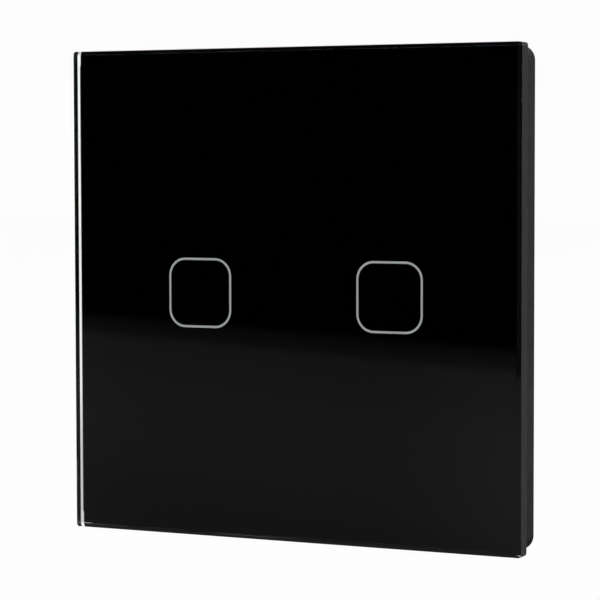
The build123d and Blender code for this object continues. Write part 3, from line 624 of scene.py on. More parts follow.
class SWITCH_OT_stage(SwitchStep, Operator):
    """Sets up the camera, floor, cards, lamps and the light all round"""

    bl_idname = "touch_switch.stage"
    bl_label = "Stage"

    # Ends of the table's strips in metres, in X for all of them and in Y for each
    TABLE_SIDES = (-2.5, 2.5)
    FADING_STRIP = (-1.7, -0.06)
    NEAR_STRIP = (-0.06, 0.03)
    # Name, ends in Y and brightness
    FAR_STRIPS = (("dark_card_table", (0.03, 0.13), 0.03), ("table_card_behind", (0.13, 1.1), 0.23))
    # Name, ends in X, ends in Y, height, and the rays that see the card
    CEILING_CARDS = (
        ("dark_card_top", (-0.42, 0.10), (-0.22, 0.16), 0.40, "glossy"),
        ("dark_card_above", (-0.20, 0.24), (-0.60, 0.36), 0.40, "transmission"),
    )
    # The way that the mirrored view leads off over the table, and the brightness along it
    AWAY = Vector((0.427, -0.905, 0.0))
    FADE = (
        (0.20, 0.66), (0.24, 0.67), (0.29, 0.76), (0.37, 0.81), (0.50, 0.81), (0.58, 0.76), (0.66, 0.68),
        (0.73, 0.68), (0.765, 0.65), (0.80, 0.56), (0.84, 0.33), (0.88, 0.26), (0.925, 0.2), (0.97, 0.04),
        (1.0, 0.0),
    )
    # The slants that bound the mirrored view, the brightness from one to the other, and its middle level
    SLANTS = (-0.6, -0.38)
    ACROSS = ((0.0, 0.84), (0.08, 0.76), (0.2, 0.70), (0.72, 0.70), (0.84, 0.78), (0.93, 0.88), (1.0, 0.96))
    FULL_GLOW = 0.70
    LAMP_SIZE = 1.2

    def make(self):
        studio = settings("studio")
        self.make_camera()
        self.make_floor(studio)
        self.make_cards(studio)
        self.lamp("key_lamp", (-0.9, -0.9, 1.1), studio.key_power)
        self.lamp("fill_lamp", (1.3, -0.6, 0.5), studio.fill_power)
        self.lamp("rear_lamp", (0.5, 1.3, 0.9), studio.rear_power)
        self.make_air(studio)
        bpy.context.scene.view_settings.view_transform = "Standard"

    def make_camera(self):
        view = settings("view")
        data = bpy.data.cameras.new("camera")
        data.lens, data.sensor_width, data.clip_start = view.focal_length, 36.0, 0.01
        camera = bpy.data.objects.new("camera", data)
        turn = Matrix.Rotation(view.heading, 3, "Z") @ Matrix.Rotation(math.pi / 2 - view.tilt, 3, "X")
        turn = turn @ Matrix.Rotation(view.roll, 3, "Z")
        camera.matrix_world = Matrix.Translation(view.place) @ turn.to_4x4()
        bpy.context.scene.collection.objects.link(camera)
        bpy.context.scene.camera = camera

    def lamp(self, name, place, power):
        """A large soft lamp that is aimed at the switch and mirrors nowhere."""
        data = bpy.data.lights.new(name, "AREA")
        data.shape, data.size, data.energy = "DISK", self.LAMP_SIZE, power
        made = bpy.data.objects.new(name, data)
        made.location = place
        made.rotation_euler = (-Vector(place)).to_track_quat("-Z", "Y").to_euler()
        made.visible_camera = made.visible_glossy = made.visible_transmission = False
        bpy.context.scene.collection.objects.link(made)

    def make_floor(self, studio):
        """A floor that shows as the white background from above and isn't seen from below."""
        ends = (-studio.floor_half, studio.floor_half)
        corners = level_card(ends, ends, cad_box[0].z - studio.floor_drop)
        every_ray = dict.fromkeys(("camera", "diffuse", "glossy", "transmission", "shadow"), True)
        nodes, shader = card("floor", corners, studio.floor_colour, "ShaderNodeBsdfDiffuse", **every_ray)
        white = nodes.add("ShaderNodeEmission", {"Strength": self.floor_level(nodes, studio)})
        seen = nodes.rays(0.0, studio.floor_whiteness, studio.floor_whiteness)
        above = nodes.add("ShaderNodeMixShader", {0: seen, 1: shader.outputs[0], 2: white.outputs[0]})
        clear = nodes.add("ShaderNodeBsdfTransparent")
        below = nodes.add("ShaderNodeNewGeometry").outputs["Backfacing"]
        sided = nodes.add("ShaderNodeMixShader", {0: below, 1: above.outputs[0], 2: clear.outputs[0]})
        nodes.end("Surface", sided.outputs[0])

    def floor_level(self, nodes, studio):
        """White where seen directly. In glass and mirrors, dim near the switch and white far behind it."""
        end = studio.floor_dim_end
        mirrored = nodes.spread(nodes.axis("Y"), studio.floor_mirrored, 0.95, end - 0.2, end)
        direct = nodes.add("ShaderNodeLightPath").outputs["Is Camera Ray"]
        return nodes.spread(direct, mirrored, 1.0, 0.0, 1.0)

    def make_cards(self, studio):
        """The table fades out in front of the glass, and dark and grey cards stand where its edges look."""
        level = cad_box[0].z - studio.floor_drop + 0.5 * MM
        self.table(studio, level)
        for name, ends, glow in (("table_card_near", self.NEAR_STRIP, studio.near_glow), *self.FAR_STRIPS):
            card(name, level_card(self.TABLE_SIDES, ends, level), (glow, glow, glow), glossy=True)
        # Name, middle on the floor plan, half the width, lower edge, upper edge and brightness
        for name, middle, half, low, high, glow in (
            ("dark_card_front", (0.0, -1.7), 3.2, -1.2, 0.5, 0.0),
            ("dark_card_left", (-0.30, 0.18), 0.14, level, 0.20, 0.0),
            ("grey_card_right", (0.20, 0.34), 0.26, level, 0.34, studio.right_glow),
            ("grey_card_side", (0.62, -0.30), 0.36, level, 0.6, studio.side_glow),
        ):
            card(name, upright_card(middle, half, low, high), (glow, glow, glow), glossy=True)
        for name, x, y, height, rays in self.CEILING_CARDS:
            card(name, level_card(x, y, height), (0, 0, 0), **{rays: True})

    def table(self, studio, level):
        """The table in front, as the glass mirrors it: it fades out in two steps, brighter to the sides."""
        corners = level_card(self.TABLE_SIDES, self.FADING_STRIP, level)
        nodes, shader = card("table_card", corners, (1, 1, 1), glossy=True)
        away = tuple(self.AWAY / studio.table_end)
        reach = nodes.add("ShaderNodeVectorMath", {0: nodes.place, 1: away}, operation="DOT_PRODUCT")
        eye = settings("view").place
        aside = nodes.calc("SUBTRACT", nodes.axis("X"), eye[0])
        ahead = nodes.calc("SUBTRACT", 2 * cad_box[0].y - eye[1], nodes.axis("Y"))
        across = nodes.spread(nodes.calc("DIVIDE", aside, ahead), 0.0, 1.0, *self.SLANTS)
        fade = nodes.ramp(reach.outputs["Value"], self.FADE)
        glow = nodes.calc("MULTIPLY", fade, studio.table_glow / self.FULL_GLOW)
        nodes.join(nodes.calc("MULTIPLY", nodes.ramp(across, self.ACROSS), glow), shader.inputs["Strength"])

    def make_air(self, studio):
        """The white world, which gives only a soft light to the object itself."""
        world = bpy.data.worlds.new("studio_air")
        world.use_nodes = True
        bpy.context.scene.world = world
        nodes = Nodes(world.node_tree)
        background = nodes.tree.nodes["Background"].inputs
        nodes.join((1.0, 1.0, 1.0, 1.0), background["Color"])
        nodes.join(nodes.rays(studio.air_level, studio.backdrop, 1.0), background["Strength"])


# Glass panel


class SWITCH_OT_glass(SwitchStep, Operator):
    """Makes the glass with its polished faces, slopes and ground sides"""

    bl_idname = "touch_switch.glass"
    bl_label = "Glass front"

    # Width of the ring of flat glass beside a slope
    FLAT = 2 * MM

    def make(self):
        glass = settings("glass")
        low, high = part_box("glass_panel")
        front, back, half = low.y, high.y + glass.bond, high.x
        arris, rear = glass.arris, glass.rear_arris
        section = [
            (arris + self.FLAT, front), (arris, front), (0.0, front + arris),
            (0.0, back - rear), (rear, back), (rear + self.FLAT, back),
        ]
        section = eased(section, glass.softness)
        rings = []
        for inset, y in section:
            rings.append(placed(rounded_square(half - inset, max(glass.corner_radius - inset, 0.02 * MM)), y))

        def is_side(number):
            middle = (section[number][1] + section[number + 1][1]) / 2
            return int(front + arris <= middle <= back - rear)

        bm = bmesh.new()
        skin(bm, rings, finish_of=is_side)
        finishes = [self.polished(glass), self.ground(glass)]
        piece = make_piece("glass_front", bm, finishes, "panel", ["glass_panel"], 180.0)
        weighted = piece.modifiers.new("flat_faces", "WEIGHTED_NORMAL")
        weighted.weight, weighted.keep_sharp = 100, False

    def clear(self, name, glass, roughness):
        """Clear glass, in which a long path through the pane turns the light green."""
        made = Finish(name, glass.tint, roughness)
        made.set("Transmission Weight", 1.0).set("IOR", 1.52)
        depth = {"Color": (*glass.depth_tint, 1.0), "Density": glass.depth_density}
        made.end("Volume", made.add("ShaderNodeVolumeAbsorption", depth).outputs[0])
        return made

    def polished(self, glass):
        made = self.clear("polished_glass", glass, 0.0)
        return made.set("Roughness", made.spread(made.mottle(14.0 * MM, 4.0), 0.0, 0.012, 0.45, 0.75))

    def ground(self, glass):
        rough = glass.ground_roughness
        made = self.clear("ground_glass", glass, rough)
        lines = made.mottle(0.09 * MM, 3.0, made.stretched(0.2, 1.0, 0.2))
        made.set("Roughness", made.spread(lines, rough - 0.04, rough + 0.06))
        return made.relief(lines, 0.0006 * MM)


class SWITCH_OT_print(SwitchStep, Operator):
    """Finishes the fired print and the two key outlines behind the glass"""

    bl_idname = "touch_switch.print"
    bl_label = "Print"

    def make(self):
        panel = settings("panel")
        black = Finish("black_enamel", panel.black_print).set("Specular IOR Level", 0.0)
        black.dapple(black.mottle(0.5 * MM, 3.0), 0.8, 1.2, 0.45, 0.6)
        pale = Finish("pale_enamel", panel.pale_print).set("Specular IOR Level", 0.0)
        pale.dapple(pale.mottle(0.18 * MM), 0.93, 1.07, 0.5, 0.62)
        # Painted glow: the pale print emits its own colour, with no lamp behind it.
        pale.set("Emission Color", (*panel.pale_print, 1.0)).set("Emission Strength", panel.pale_painted_glow)
        dress(pale, "ring_left", "ring_right")
        self.field(black, panel)

    def field(self, black, panel):
        """The black field, printed up to the slope of the glass, with a gap for each key outline."""
        low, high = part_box("black_print")
        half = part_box("glass_panel")[1].x - settings("glass").rear_arris - 0.02 * MM
        bm = bmesh.new()
        outer = rounded_square(half, 0.15 * MM, 3)
        skin(bm, [placed(outer, y) for y in (low.y, high.y)])
        piece = make_piece("fired_print", bm, [black], "panel", ["black_print"])
        before, behind, line = low.y - MM, high.y + MM, panel.outline_width
        for node in ("ring_left", "ring_right"):
            middle, reach = centred(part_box(node))
            walls = []
            for inset, ends in ((0.0, (before, behind)), (line, (behind, before))):
                ring = rounded_square(reach.x - inset, panel.outline_radius + line / 2 - inset, 10)
                walls += [placed(ring, y, middle.x, middle.z) for y in ends]
            gap = bmesh.new()
            skin(gap, walls, looped=True)
            carve(piece, gap)


class SWITCH_OT_tape(SwitchStep, Operator):
    """Lays the foam tape between the glass and the frame"""

    bl_idname = "touch_switch.tape"
    bl_label = "Foam tape"

    # Edge that the backing has squeezed: in from the side in millimetres, share of half the thickness
    EDGE = ((0.06, 1.0), (0.0, 0.55), (0.03, 0.0), (0.0, -0.55), (0.06, -1.0))

    def make(self):
        made = foam("foam_tape", settings("panel").tape, 0.16 * MM, 0.7, 1.3, 0.78, 0.02 * MM)
        bm = bmesh.new()
        for box in solids_of("panel_tape"):
            middle, half = centred(box)
            rings = []
            for inset, rise in self.EDGE:
                ring = rounded_square(half.x - inset * MM, 0.25 * MM, 4, half.z - inset * MM)
                rings.append(placed(ring, middle.y - rise * half.y, middle.x, middle.z))
            skin(bm, rings)
        piece = make_piece("foam_tape", bm, [made], "panel", ["panel_tape"], 50.0)


class SWITCH_OT_frame(SwitchStep, Operator):
    """Finishes the moulded frame behind the glass"""

    bl_idname = "touch_switch.frame"
    bl_label = "Panel frame"

    def make(self):
        panel = settings("panel")
        look = {"depth": panel.grain_depth, "softness": panel.edge_softness}
        dress(moulded("black_moulding", panel.frame_plastic, **look), "panel_frame", "board_carrier")


# Plate and screws


class SWITCH_OT_plate(SwitchStep, Operator):
    """Finishes the mounting plate, the clamp cages and their screws"""

    bl_idname = "touch_switch.plate"
    bl_label = "Mounting plate"

    def make(self):
        metal = settings("metal")
        dress(plated("zinc_plated_steel", metal.zinc, 0.38, metallic=0.85), "mounting_plate")
        cage = plated("zinc_plated_cage", metal.zinc, 0.26, "Z", 0.1 * MM)
        screw = plated("plated_screw", metal.screw_steel, 0.24, "Y", 0.1 * MM, (1.0, 0.99, 0.95))
        for number in range(1, 5):
            dress(cage, f"clamp_cage_{number}")
            dress(screw, f"terminal_screw_{number}")
        dress(plated("dark_screw_steel", metal.dark_steel, 0.34, "Y", 0.1 * MM), "carrier_screws")


class SWITCH_OT_box_screws(SwitchStep, Operator):
    """Turns the two box screws, with their cross recesses and rolled threads"""

    bl_idname = "touch_switch.box_screws"
    bl_label = "Box screws"

    # Dome of the pan head in millimetres: in from its radius, down from its top
    DOME = ((1.5, 0.05), (0.72, 0.27), (0.25, 0.66), (0.02, 1.15))
    # Cross recess in millimetres: half its length, half the width of a wing, down from the head's top
    RECESS = ((1.75, 0.5, -0.4), (1.55, 0.42, 0.3), (0.75, 0.30, 1.25), (0.28, 0.2, 1.5))
    NECK = 1.45 * MM
    CREST = 1.75 * MM
    # The thread over one turn: share of the pitch, and share of the depth
    THREAD = ((0.0, 0.0), (0.14, 0.0), (0.44, 1.0), (0.56, 1.0))
    # The tip tapers over this length to this share of the radius
    TAPER, TIP_SHARE = 0.9 * MM, 0.65

    def make(self):
        metal = settings("metal")
        steel = plated("box_screw_steel", metal.screw_steel, 0.27, "Y", 0.08 * MM, (1.0, 0.99, 0.94))
        self.darken_thread_root(steel, metal)
        for side in ("left", "right"):
            node = f"mounting_screw_{side}"
            front, tip = (end.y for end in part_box(node))
            middle, half = centred(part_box(node))
            bm = bmesh.new()
            self.head(bm, middle, front, half.x)
            self.thread(bm, middle, tip, metal)
            piece = make_piece(f"box_screw_{side}", bm, [steel], node, [node], 32.0)
            carve(piece, self.recess(middle, front))

    def darken_thread_root(self, steel, metal):
        """Darkens the root of the thread behind the wall plane."""
        middle, _ = centred(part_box("mounting_screw_right"))
        beside = steel.calc("SUBTRACT", steel.off(steel.axis("X")), middle.x)
        above = steel.calc("SUBTRACT", steel.axis("Z"), middle.z)
        squares = [steel.calc("POWER", away, 2.0) for away in (beside, above)]
        off_axis = steel.calc("SQRT", steel.calc("ADD", *squares))
        root = steel.spread(off_axis, 0.75, 0.0, self.CREST - metal.thread_depth, self.CREST - 0.05 * MM)
        behind = steel.past(steel.axis("Y"), 0.1 * MM, 0.1 * MM)
        steel.over(steel.calc("MULTIPLY", root, behind), lighter(metal.screw_steel, 0.16))

    def head(self, bm, middle, top, radius):
        """The pan head, its bearing face on the plate, and the plain neck."""
        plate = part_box("mounting_plate")[0].y
        profile = [
            (0.02 * MM, top), *((radius - inward * MM, top + down * MM) for inward, down in self.DOME),
            (radius, plate - 0.14 * MM), (radius - 0.12 * MM, plate), (self.NECK + 0.12 * MM, plate),
            (self.NECK, plate + 0.1 * MM), (self.NECK, 0.05 * MM),
        ]
        turned(bm, middle.x, middle.z, profile, 56)

    def recess(self, middle, top):
        """A cross with tapered wings."""
        bm = bmesh.new()
        rings = []
        for length_of_wing, width, down in self.RECESS:
            corners = []
            for turn in range(4):
                c, s = math.cos(turn * math.pi / 2), math.sin(turn * math.pi / 2)
                for along, across in ((length_of_wing, -width), (length_of_wing, width), (width, width)):
                    corners.append(((along * c - across * s) * MM, (along * s + across * c) * MM))
            rings.append(placed(corners, top + down * MM, middle.x, middle.z))
        skin(bm, rings)
        return bm

    def thread(self, bm, middle, tip, metal):
        """A rolled thread from the wall plane to the tip, as one sheet that winds round the shank."""
        pitch, steps, root = metal.thread_pitch, metal.thread_steps, self.CREST - metal.thread_depth
        rows = []
        for turn in range(-1, math.ceil(tip / pitch) + 1):
            for phase, rise in self.THREAD:
                row = []
                for step in range(steps):
                    angle_round = 2 * math.pi * step / steps
                    y = pitch * (turn + phase + step / steps)
                    ending = min(1.0, max(0.0, (tip - y) / self.TAPER))
                    lead = min(1.0, max(0.0, y / pitch)) * min(1.0, ending * 1.6)
                    taper = self.TIP_SHARE + ending * (1.0 - self.TIP_SHARE)
                    r = (root + metal.thread_depth * rise * lead) * taper
                    x, z = middle.x + r * math.cos(angle_round), middle.z + r * math.sin(angle_round)
                    row.append(bm.verts.new((x, min(max(y, 0.0), tip), z)))
                rows.append(row)
        after = len(self.THREAD)
        for number, (low, high) in enumerate(zip(rows, rows[1:])):
            for step in range(steps - 1):
                bm.faces.new((low[step], low[step + 1], high[step + 1], high[step]))
            if number + after + 1 < len(rows):
                bm.faces.new((low[-1], rows[number + after][0], rows[number + after + 1][0], high[-1]))
        bmesh.ops.remove_doubles(bm, verts=bm.verts, dist=0.002 * MM)
        bmesh.ops.dissolve_degenerate(bm, dist=0.002 * MM, edges=bm.edges)
        bmesh.ops.holes_fill(bm, edges=[edge for edge in bm.edges if edge.is_boundary], sides=0)


# Touch board and what stands on it


class SWITCH_OT_touch_board(SwitchStep, Operator):
    """Finishes the touch board, its light guides, chip, resistors and light sources"""

    bl_idname = "touch_switch.touch_board"
    bl_label = "Touch board"

    # Where the hatched copper stops: half the room round a key and round the small parts, and at the rim
    KEY_ROOM = 7.6 * MM
    PARTS_ROOM, PARTS_WIDER, PARTS_MIDDLE = 12.6 * MM, 9.0 * MM, -2.0 * MM
    RIM = 24.2 * MM

    def make(self):
        touch, metal = settings("touch"), settings("metal")
        dress(self.solder_mask(touch), "touch_board")
        dress(self.guide(touch), "light_guide_left", "light_guide_right")
        dress(self.light_source(touch, metal), "indicator_leds")
        dress(legged_chip("touch_chip", touch.chip, metal.tin, "touch_controller"), "touch_controller")
        dress(self.resistor(metal), "chip_resistors")

    def solder_mask(self, touch):
        """Black mask over the hatched earth copper, which stops short of the keys, the chip and the rim."""
        made = Finish("black_solder_mask", touch.mask, 0.32)
        x, z = made.axis("X"), made.axis("Z")
        lines = []
        for operation in ("ADD", "SUBTRACT"):
            slant = made.calc("MULTIPLY", made.calc(operation, x, z), math.sqrt(0.5))
            lines.append(made.calc("PINGPONG", slant, touch.hatch_pitch / 2))
        hatch = made.within(made.calc("MINIMUM", *lines), touch.hatch_width / 2)
        wide, tall = made.off(x), made.off(z)
        key, _ = centred(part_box("touch_pad_right"))
        off_key = made.calc("MAXIMUM", made.off(wide, key.x), tall)
        narrowed = made.calc("SUBTRACT", wide, self.PARTS_WIDER)
        off_parts = made.calc("MAXIMUM", narrowed, made.off(z, self.PARTS_MIDDLE))
        off_middle = made.calc("MAXIMUM", wide, tall)
        rooms = (made.past(off_key, self.KEY_ROOM), made.past(off_parts, self.PARTS_ROOM))
        for clear in (*rooms, made.within(off_middle, self.RIM)):
            hatch = made.calc("MULTIPLY", hatch, clear)
        made.dapple(made.mottle(0.7 * MM), 0.8, 1.3, 0.27, 0.38).over(hatch, touch.track)
        return made.relief(hatch, touch.track_rise, made.edges(0.06 * MM))

    def guide(self, touch):
        made = Finish("milky_acrylic", touch.guide, 0.28)
        made.set("Subsurface Weight", 0.6).set("Subsurface Scale", 0.6 * MM)
        made.dapple(made.mottle(1.4 * MM), 0.94, 1.0, 0.22, 0.36)
        return made.set("Normal", made.edges(0.1 * MM))

    def light_source(self, touch, metal):
        """White body, phosphor window in the middle of the front and tinned ends."""
        made = Finish("light_source", (0.86, 0.86, 0.84), 0.35)
        middle, half = centred(solids_of("indicator_leds")[0])
        off_x = made.off(made.off(made.axis("X")), abs(middle.x))
        speck = made.mottle(0.12 * MM)
        made.set("Base Color", made.mixed(speck, lighter(touch.phosphor, 0.85), touch.phosphor))
        made.over(made.past(off_x, half.x * 0.5), (0.84, 0.84, 0.82))
        made.tinned(made.past(off_x, half.x * 0.74), metal.tin)
        made.set("Roughness", made.spread(speck, 0.22, 0.42))
        return made.relief(speck, 0.004 * MM, made.edges(0.06 * MM))

    def resistor(self, metal):
        """Dark glassy top on a pale ceramic body, with tinned ends."""
        made = Finish("chip_resistor", (0.4, 0.38, 0.34), 0.4)
        boxes = solids_of("chip_resistors")
        rows = sorted({round(centred(box)[0].z, 6) for box in boxes})
        off = made.calc("MINIMUM", *(made.off(made.axis("Z"), row) for row in (rows[0], rows[-1])))
        speck = made.mottle(0.1 * MM)
        glaze = made.mixed(speck, (0.012, 0.012, 0.014), (0.02, 0.02, 0.024))
        made.set("Base Color", made.mixed(speck, (0.62, 0.6, 0.56), (0.72, 0.7, 0.66)))
        made.over(made.within(made.axis("Y"), boxes[0][0].y + 0.05 * MM), glaze)
        made.tinned(made.past(off, centred(boxes[0])[1].z * 0.68), metal.tin)
        made.set("Roughness", made.spread(speck, 0.25, 0.45))
        return made.relief(speck, 0.003 * MM, made.edges(0.07 * MM))


class SWITCH_OT_tracks(SwitchStep, Operator):
    """Lays the tracks, through-holes and solder on the touch board"""

    bl_idname = "touch_switch.tracks"
    bl_label = "Tracks and solder"

    # Routes on the right half in millimetres, as X and Z. The left half mirrors them.
    ROUTES = (
        # from the chip to the key, to a hole and to the resistors
        ((1.905, 7.6), (1.905, 8.9), (4.6, 11.6), (14.1, 11.6), (18.3, 7.4), (18.3, 3.3)),
        ((0.635, 7.6), (0.635, 9.6)),
        ((1.905, 2.4), (1.905, 0.6), (4.8, -2.3), (4.8, -2.8)),
        ((0.635, 2.4), (0.635, -0.4), (2.4, -2.165), (2.4, -2.8)),
        # between the resistors, and on to the header pins
        ((4.8, -4.0), (4.8, -6.2)),
        ((2.4, -4.0), (2.4, -6.2)),
        ((4.8, -7.4), (4.8, -11.8), (5.0, -12.0), (5.0, -12.6)),
        ((2.4, -7.4), (2.4, -11.0), (3.0, -11.6), (3.0, -12.6)),
        # from a pin to a hole, from a pin to a light source, on to the other one and to a hole
        ((1.0, -12.6), (1.0, -10.6)),
        ((7.0, -12.6), (7.0, -11.2), (11.9, -6.3), (16.1, -6.3), (17.5, -4.9)),
        ((19.1, -4.85), (21.7, -4.85), (22.7, -3.85), (22.7, 3.85), (21.7, 4.85), (19.1, 4.85)),
        ((17.5, 4.85), (15.6, 4.85), (13.9, 3.15), (13.9, -1.0)),
    )
    MIDDLE_ROUTES = (((0.0, -2.8), (0.0, -1.6)), ((0.0, -4.0), (0.0, -6.2)), ((0.0, -7.4), (0.0, -9.0)))
    HOLES = (
        (0.635, 9.6), (1.0, -10.6), (13.9, -1.0), (13.0, 21.6), (13.0, -21.6), (23.2, 12.4), (23.2, -12.4),
        (10.6, 15.4),
    )
    MIDDLE_HOLES = ((0.0, -1.6), (0.0, -9.0))
    LEGS = (-1.905, -0.635, 0.635, 1.905)
    # Solder in millimetres: radius and rise of the ring round a hole and of the cone round a pin
    HOLE_RING = ((0.45, -0.01), (0.43, 0.035), (0.36, 0.045), (0.24, 0.045), (0.18, 0.03), (0.14, 0.008))
    PIN_CONE = ((0.9, -0.01), (0.86, 0.03), (0.66, 0.09), (0.5, 0.2), (0.4, 0.31), (0.31, 0.355))
    # A fillet from a part's end outward: shares of its reach, its rise and its width
    FILLET = ((-0.15, 1.0, 0.9), (0.0, 1.0, 0.94), (0.25, 0.52, 0.98), (0.6, 0.2, 1.02), (1.0, 0.06, 1.0))

    def make(self):
        touch, metal = settings("touch"), settings("metal")
        self.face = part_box("touch_board")[0].y
        copper = Finish("covered_track", touch.track)
        copper.dapple(copper.mottle(0.4 * MM), 0.85, 1.25, 0.25, 0.36)
        bm = bmesh.new()
        for side in (-1, 1):
            for route in self.ROUTES:
                self.ribbon(bm, [(side * x, z) for x, z in route], touch)
        for route in self.MIDDLE_ROUTES:
            self.ribbon(bm, route, touch)
        make_piece("board_tracks", bm, [copper], "root")
        solder = Finish("solder", metal.tin, metallic=0.95)
        wave = solder.mottle(0.35 * MM, 3.0)
        solder.dapple(wave, 0.82, 1.08, 0.16, 0.36).relief(wave, 0.01 * MM)
        bm = bmesh.new()
        for x, z in [(side * x, z) for x, z in self.HOLES for side in (-1, 1)] + list(self.MIDDLE_HOLES):
            self.cone(bm, x * MM, z * MM, self.HOLE_RING, 20)
        self.joints(bm)
        make_piece("board_solder", bm, [solder], "root", crease=60.0)

    def ribbon(self, bm, route, touch):
        """A flat track with sloping sides along a route given in millimetres."""
        points = [Vector(point) * MM for point in route]
        rise = touch.track_rise
        rings = []
        for number, here in enumerate(points):
            into = (here - points[number - 1]).normalized() if number else None
            out = (points[number + 1] - here).normalized() if number + 1 < len(points) else into
            into = into or out
            along = (into + out).normalized()
            aside = Vector((-along.y, along.x)) / max(0.5, along.dot(into)) * touch.track_width
            ring = []
            for part, height in ((-0.5, -0.01 * MM), (-0.42, rise), (0.42, rise), (0.5, -0.01 * MM)):
                point = here + aside * part
                ring.append((point.x, self.face - height, point.y))
            rings.append(ring)
        skin(bm, rings)

    def cone(self, bm, x, z, profile, steps):
        """Solder turned from points of radius and rise in millimetres."""
        turned(bm, x, z, [(radius * MM, self.face - rise * MM) for radius, rise in profile], steps)

    def joints(self, bm):
        """Solder cones round the header pins, and fillets at the ends of the small parts."""
        for box in solids_of("header_pins"):
            middle, _ = centred(box)
            self.cone(bm, middle.x, middle.z, self.PIN_CONE, 28)
        for box in solids_of("chip_resistors"):
            self.fillets(bm, box, "z", 2 * centred(box)[1].x, 0.42, 0.3)
        for box in solids_of("indicator_leds"):
            self.fillets(bm, box, "x", 2 * centred(box)[1].z, 0.4, 0.35)
        low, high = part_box("touch_controller")
        for x in self.LEGS:
            leg = [Vector((x * MM, end.y, end.z)) for end in (low, high)]
            self.fillets(bm, leg, "z", 0.5 * MM, 0.35, 0.18)

    def fillets(self, bm, box, axis, width, reach, rise):
        """Hollow slopes of solder from both ends of a part down to the board."""
        for end, sign in zip(box, (-1, 1)):
            place, toward = centred(box)[0], Vector()
            setattr(place, axis, getattr(end, axis))
            setattr(toward, axis, sign)
            rings = []
            for out, up, wide in self.FILLET:
                ahead = out * reach * MM
                ring = []
                for part, height in ((-0.5, -0.01), (-0.44, up * rise), (0.44, up * rise), (0.5, -0.01)):
                    across = part * width * wide
                    x = place.x + toward.x * ahead - toward.z * across
                    z = place.z + toward.z * ahead + toward.x * across
                    ring.append((x, self.face - height * MM, z))
                rings.append(ring)
            skin(bm, rings)


class SWITCH_OT_touch_pads(SwitchStep, Operator):
    """Makes the two foam pads that press on the glass"""

    bl_idname = "touch_switch.touch_pads"
    bl_label = "Touch pads"

    def make(self):
        touch = settings("touch")
        made = foam("conductive_foam", touch.foam, 0.22 * MM, 0.55, 1.4, 0.75, 0.05 * MM)
        for side in ("left", "right"):
            node = f"touch_pad_{side}"
            bm = bmesh.new()
            self.pad(bm, *centred(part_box(node)), touch.pad_crown)
            piece = make_piece(f"foam_pad_{side}", bm, [made], "root", [node], 180.0)
            soft = piece.modifiers.new("soft", "SUBSURF")
            soft.levels = soft.render_levels = 2

    def pad(self, bm, middle, half, crown):
        """A crowned pad whose sides draw in between the corners and swell at mid-height."""
        back, front = middle.y + half.y, middle.y - half.y
        rings = []
        # In from the side in millimetres, and depth in metres
        for inset, y in (
            (0.0, back), (0.0, back - 0.08 * MM), (0.0, back - 0.4 * half.y), (0.02, back - half.y),
            (0.05, front + crown + 0.22 * MM), (0.2, front + crown + 0.05 * MM), (0.45, front + crown * 0.75),
            (1.1, front + crown * 0.35), (2.0, front + crown * 0.08), (2.9, front),
        ):
            ring = rounded_square(half.x - inset * MM, max(1.2 - inset * 0.3, 0.25) * MM, 3, pull=0.03)
            rings.append(placed(ring, y, middle.x, middle.z))
        skin(bm, rings)


class SWITCH_OT_header(SwitchStep, Operator):
    """Finishes the plug-in header between the two boards"""

    bl_idname = "touch_switch.header"
    bl_label = "Header"

    def make(self):
        plastic = moulded("header_plastic", (0.02, 0.02, 0.021), 0.42, 0.1 * MM, 0.003 * MM, 0.08 * MM)
        dress(plastic, "header_strip", "header_socket")
        gilt = plated("gilt_pin", settings("metal").gilt, 0.2, "Y", 0.05 * MM, (1.0, 1.02, 1.05))
        dress(gilt, "header_pins")


# Mains module


class SWITCH_OT_housing(SwitchStep, Operator):
    """Finishes the housing, the insulating tray and the terminal block"""

    bl_idname = "touch_switch.housing"
    bl_label = "Housing and terminals"

    def make(self):
        mains, metal = settings("mains"), settings("metal")
        housing = moulded("housing_moulding", mains.housing, 0.5, 0.16 * MM, 0.008 * MM, 0.2 * MM)
        dress(housing, "module_housing")
        tray = moulded("tray_moulding", mains.tray, 0.45, 0.12 * MM, 0.004 * MM, scuffs=0.1)
        dress(tray, "insulating_tray")
        terminal = moulded("terminal_moulding", mains.terminal, 0.45, 0.12 * MM, 0.004 * MM, 0.15 * MM, 0.3)
        dress(terminal, "terminal_block", "terminal_cover")
        dress(plated("tinned_brass", metal.tin, 0.3, "Z", 0.08 * MM, (1.0, 1.0, 0.98)), "terminal_bars")


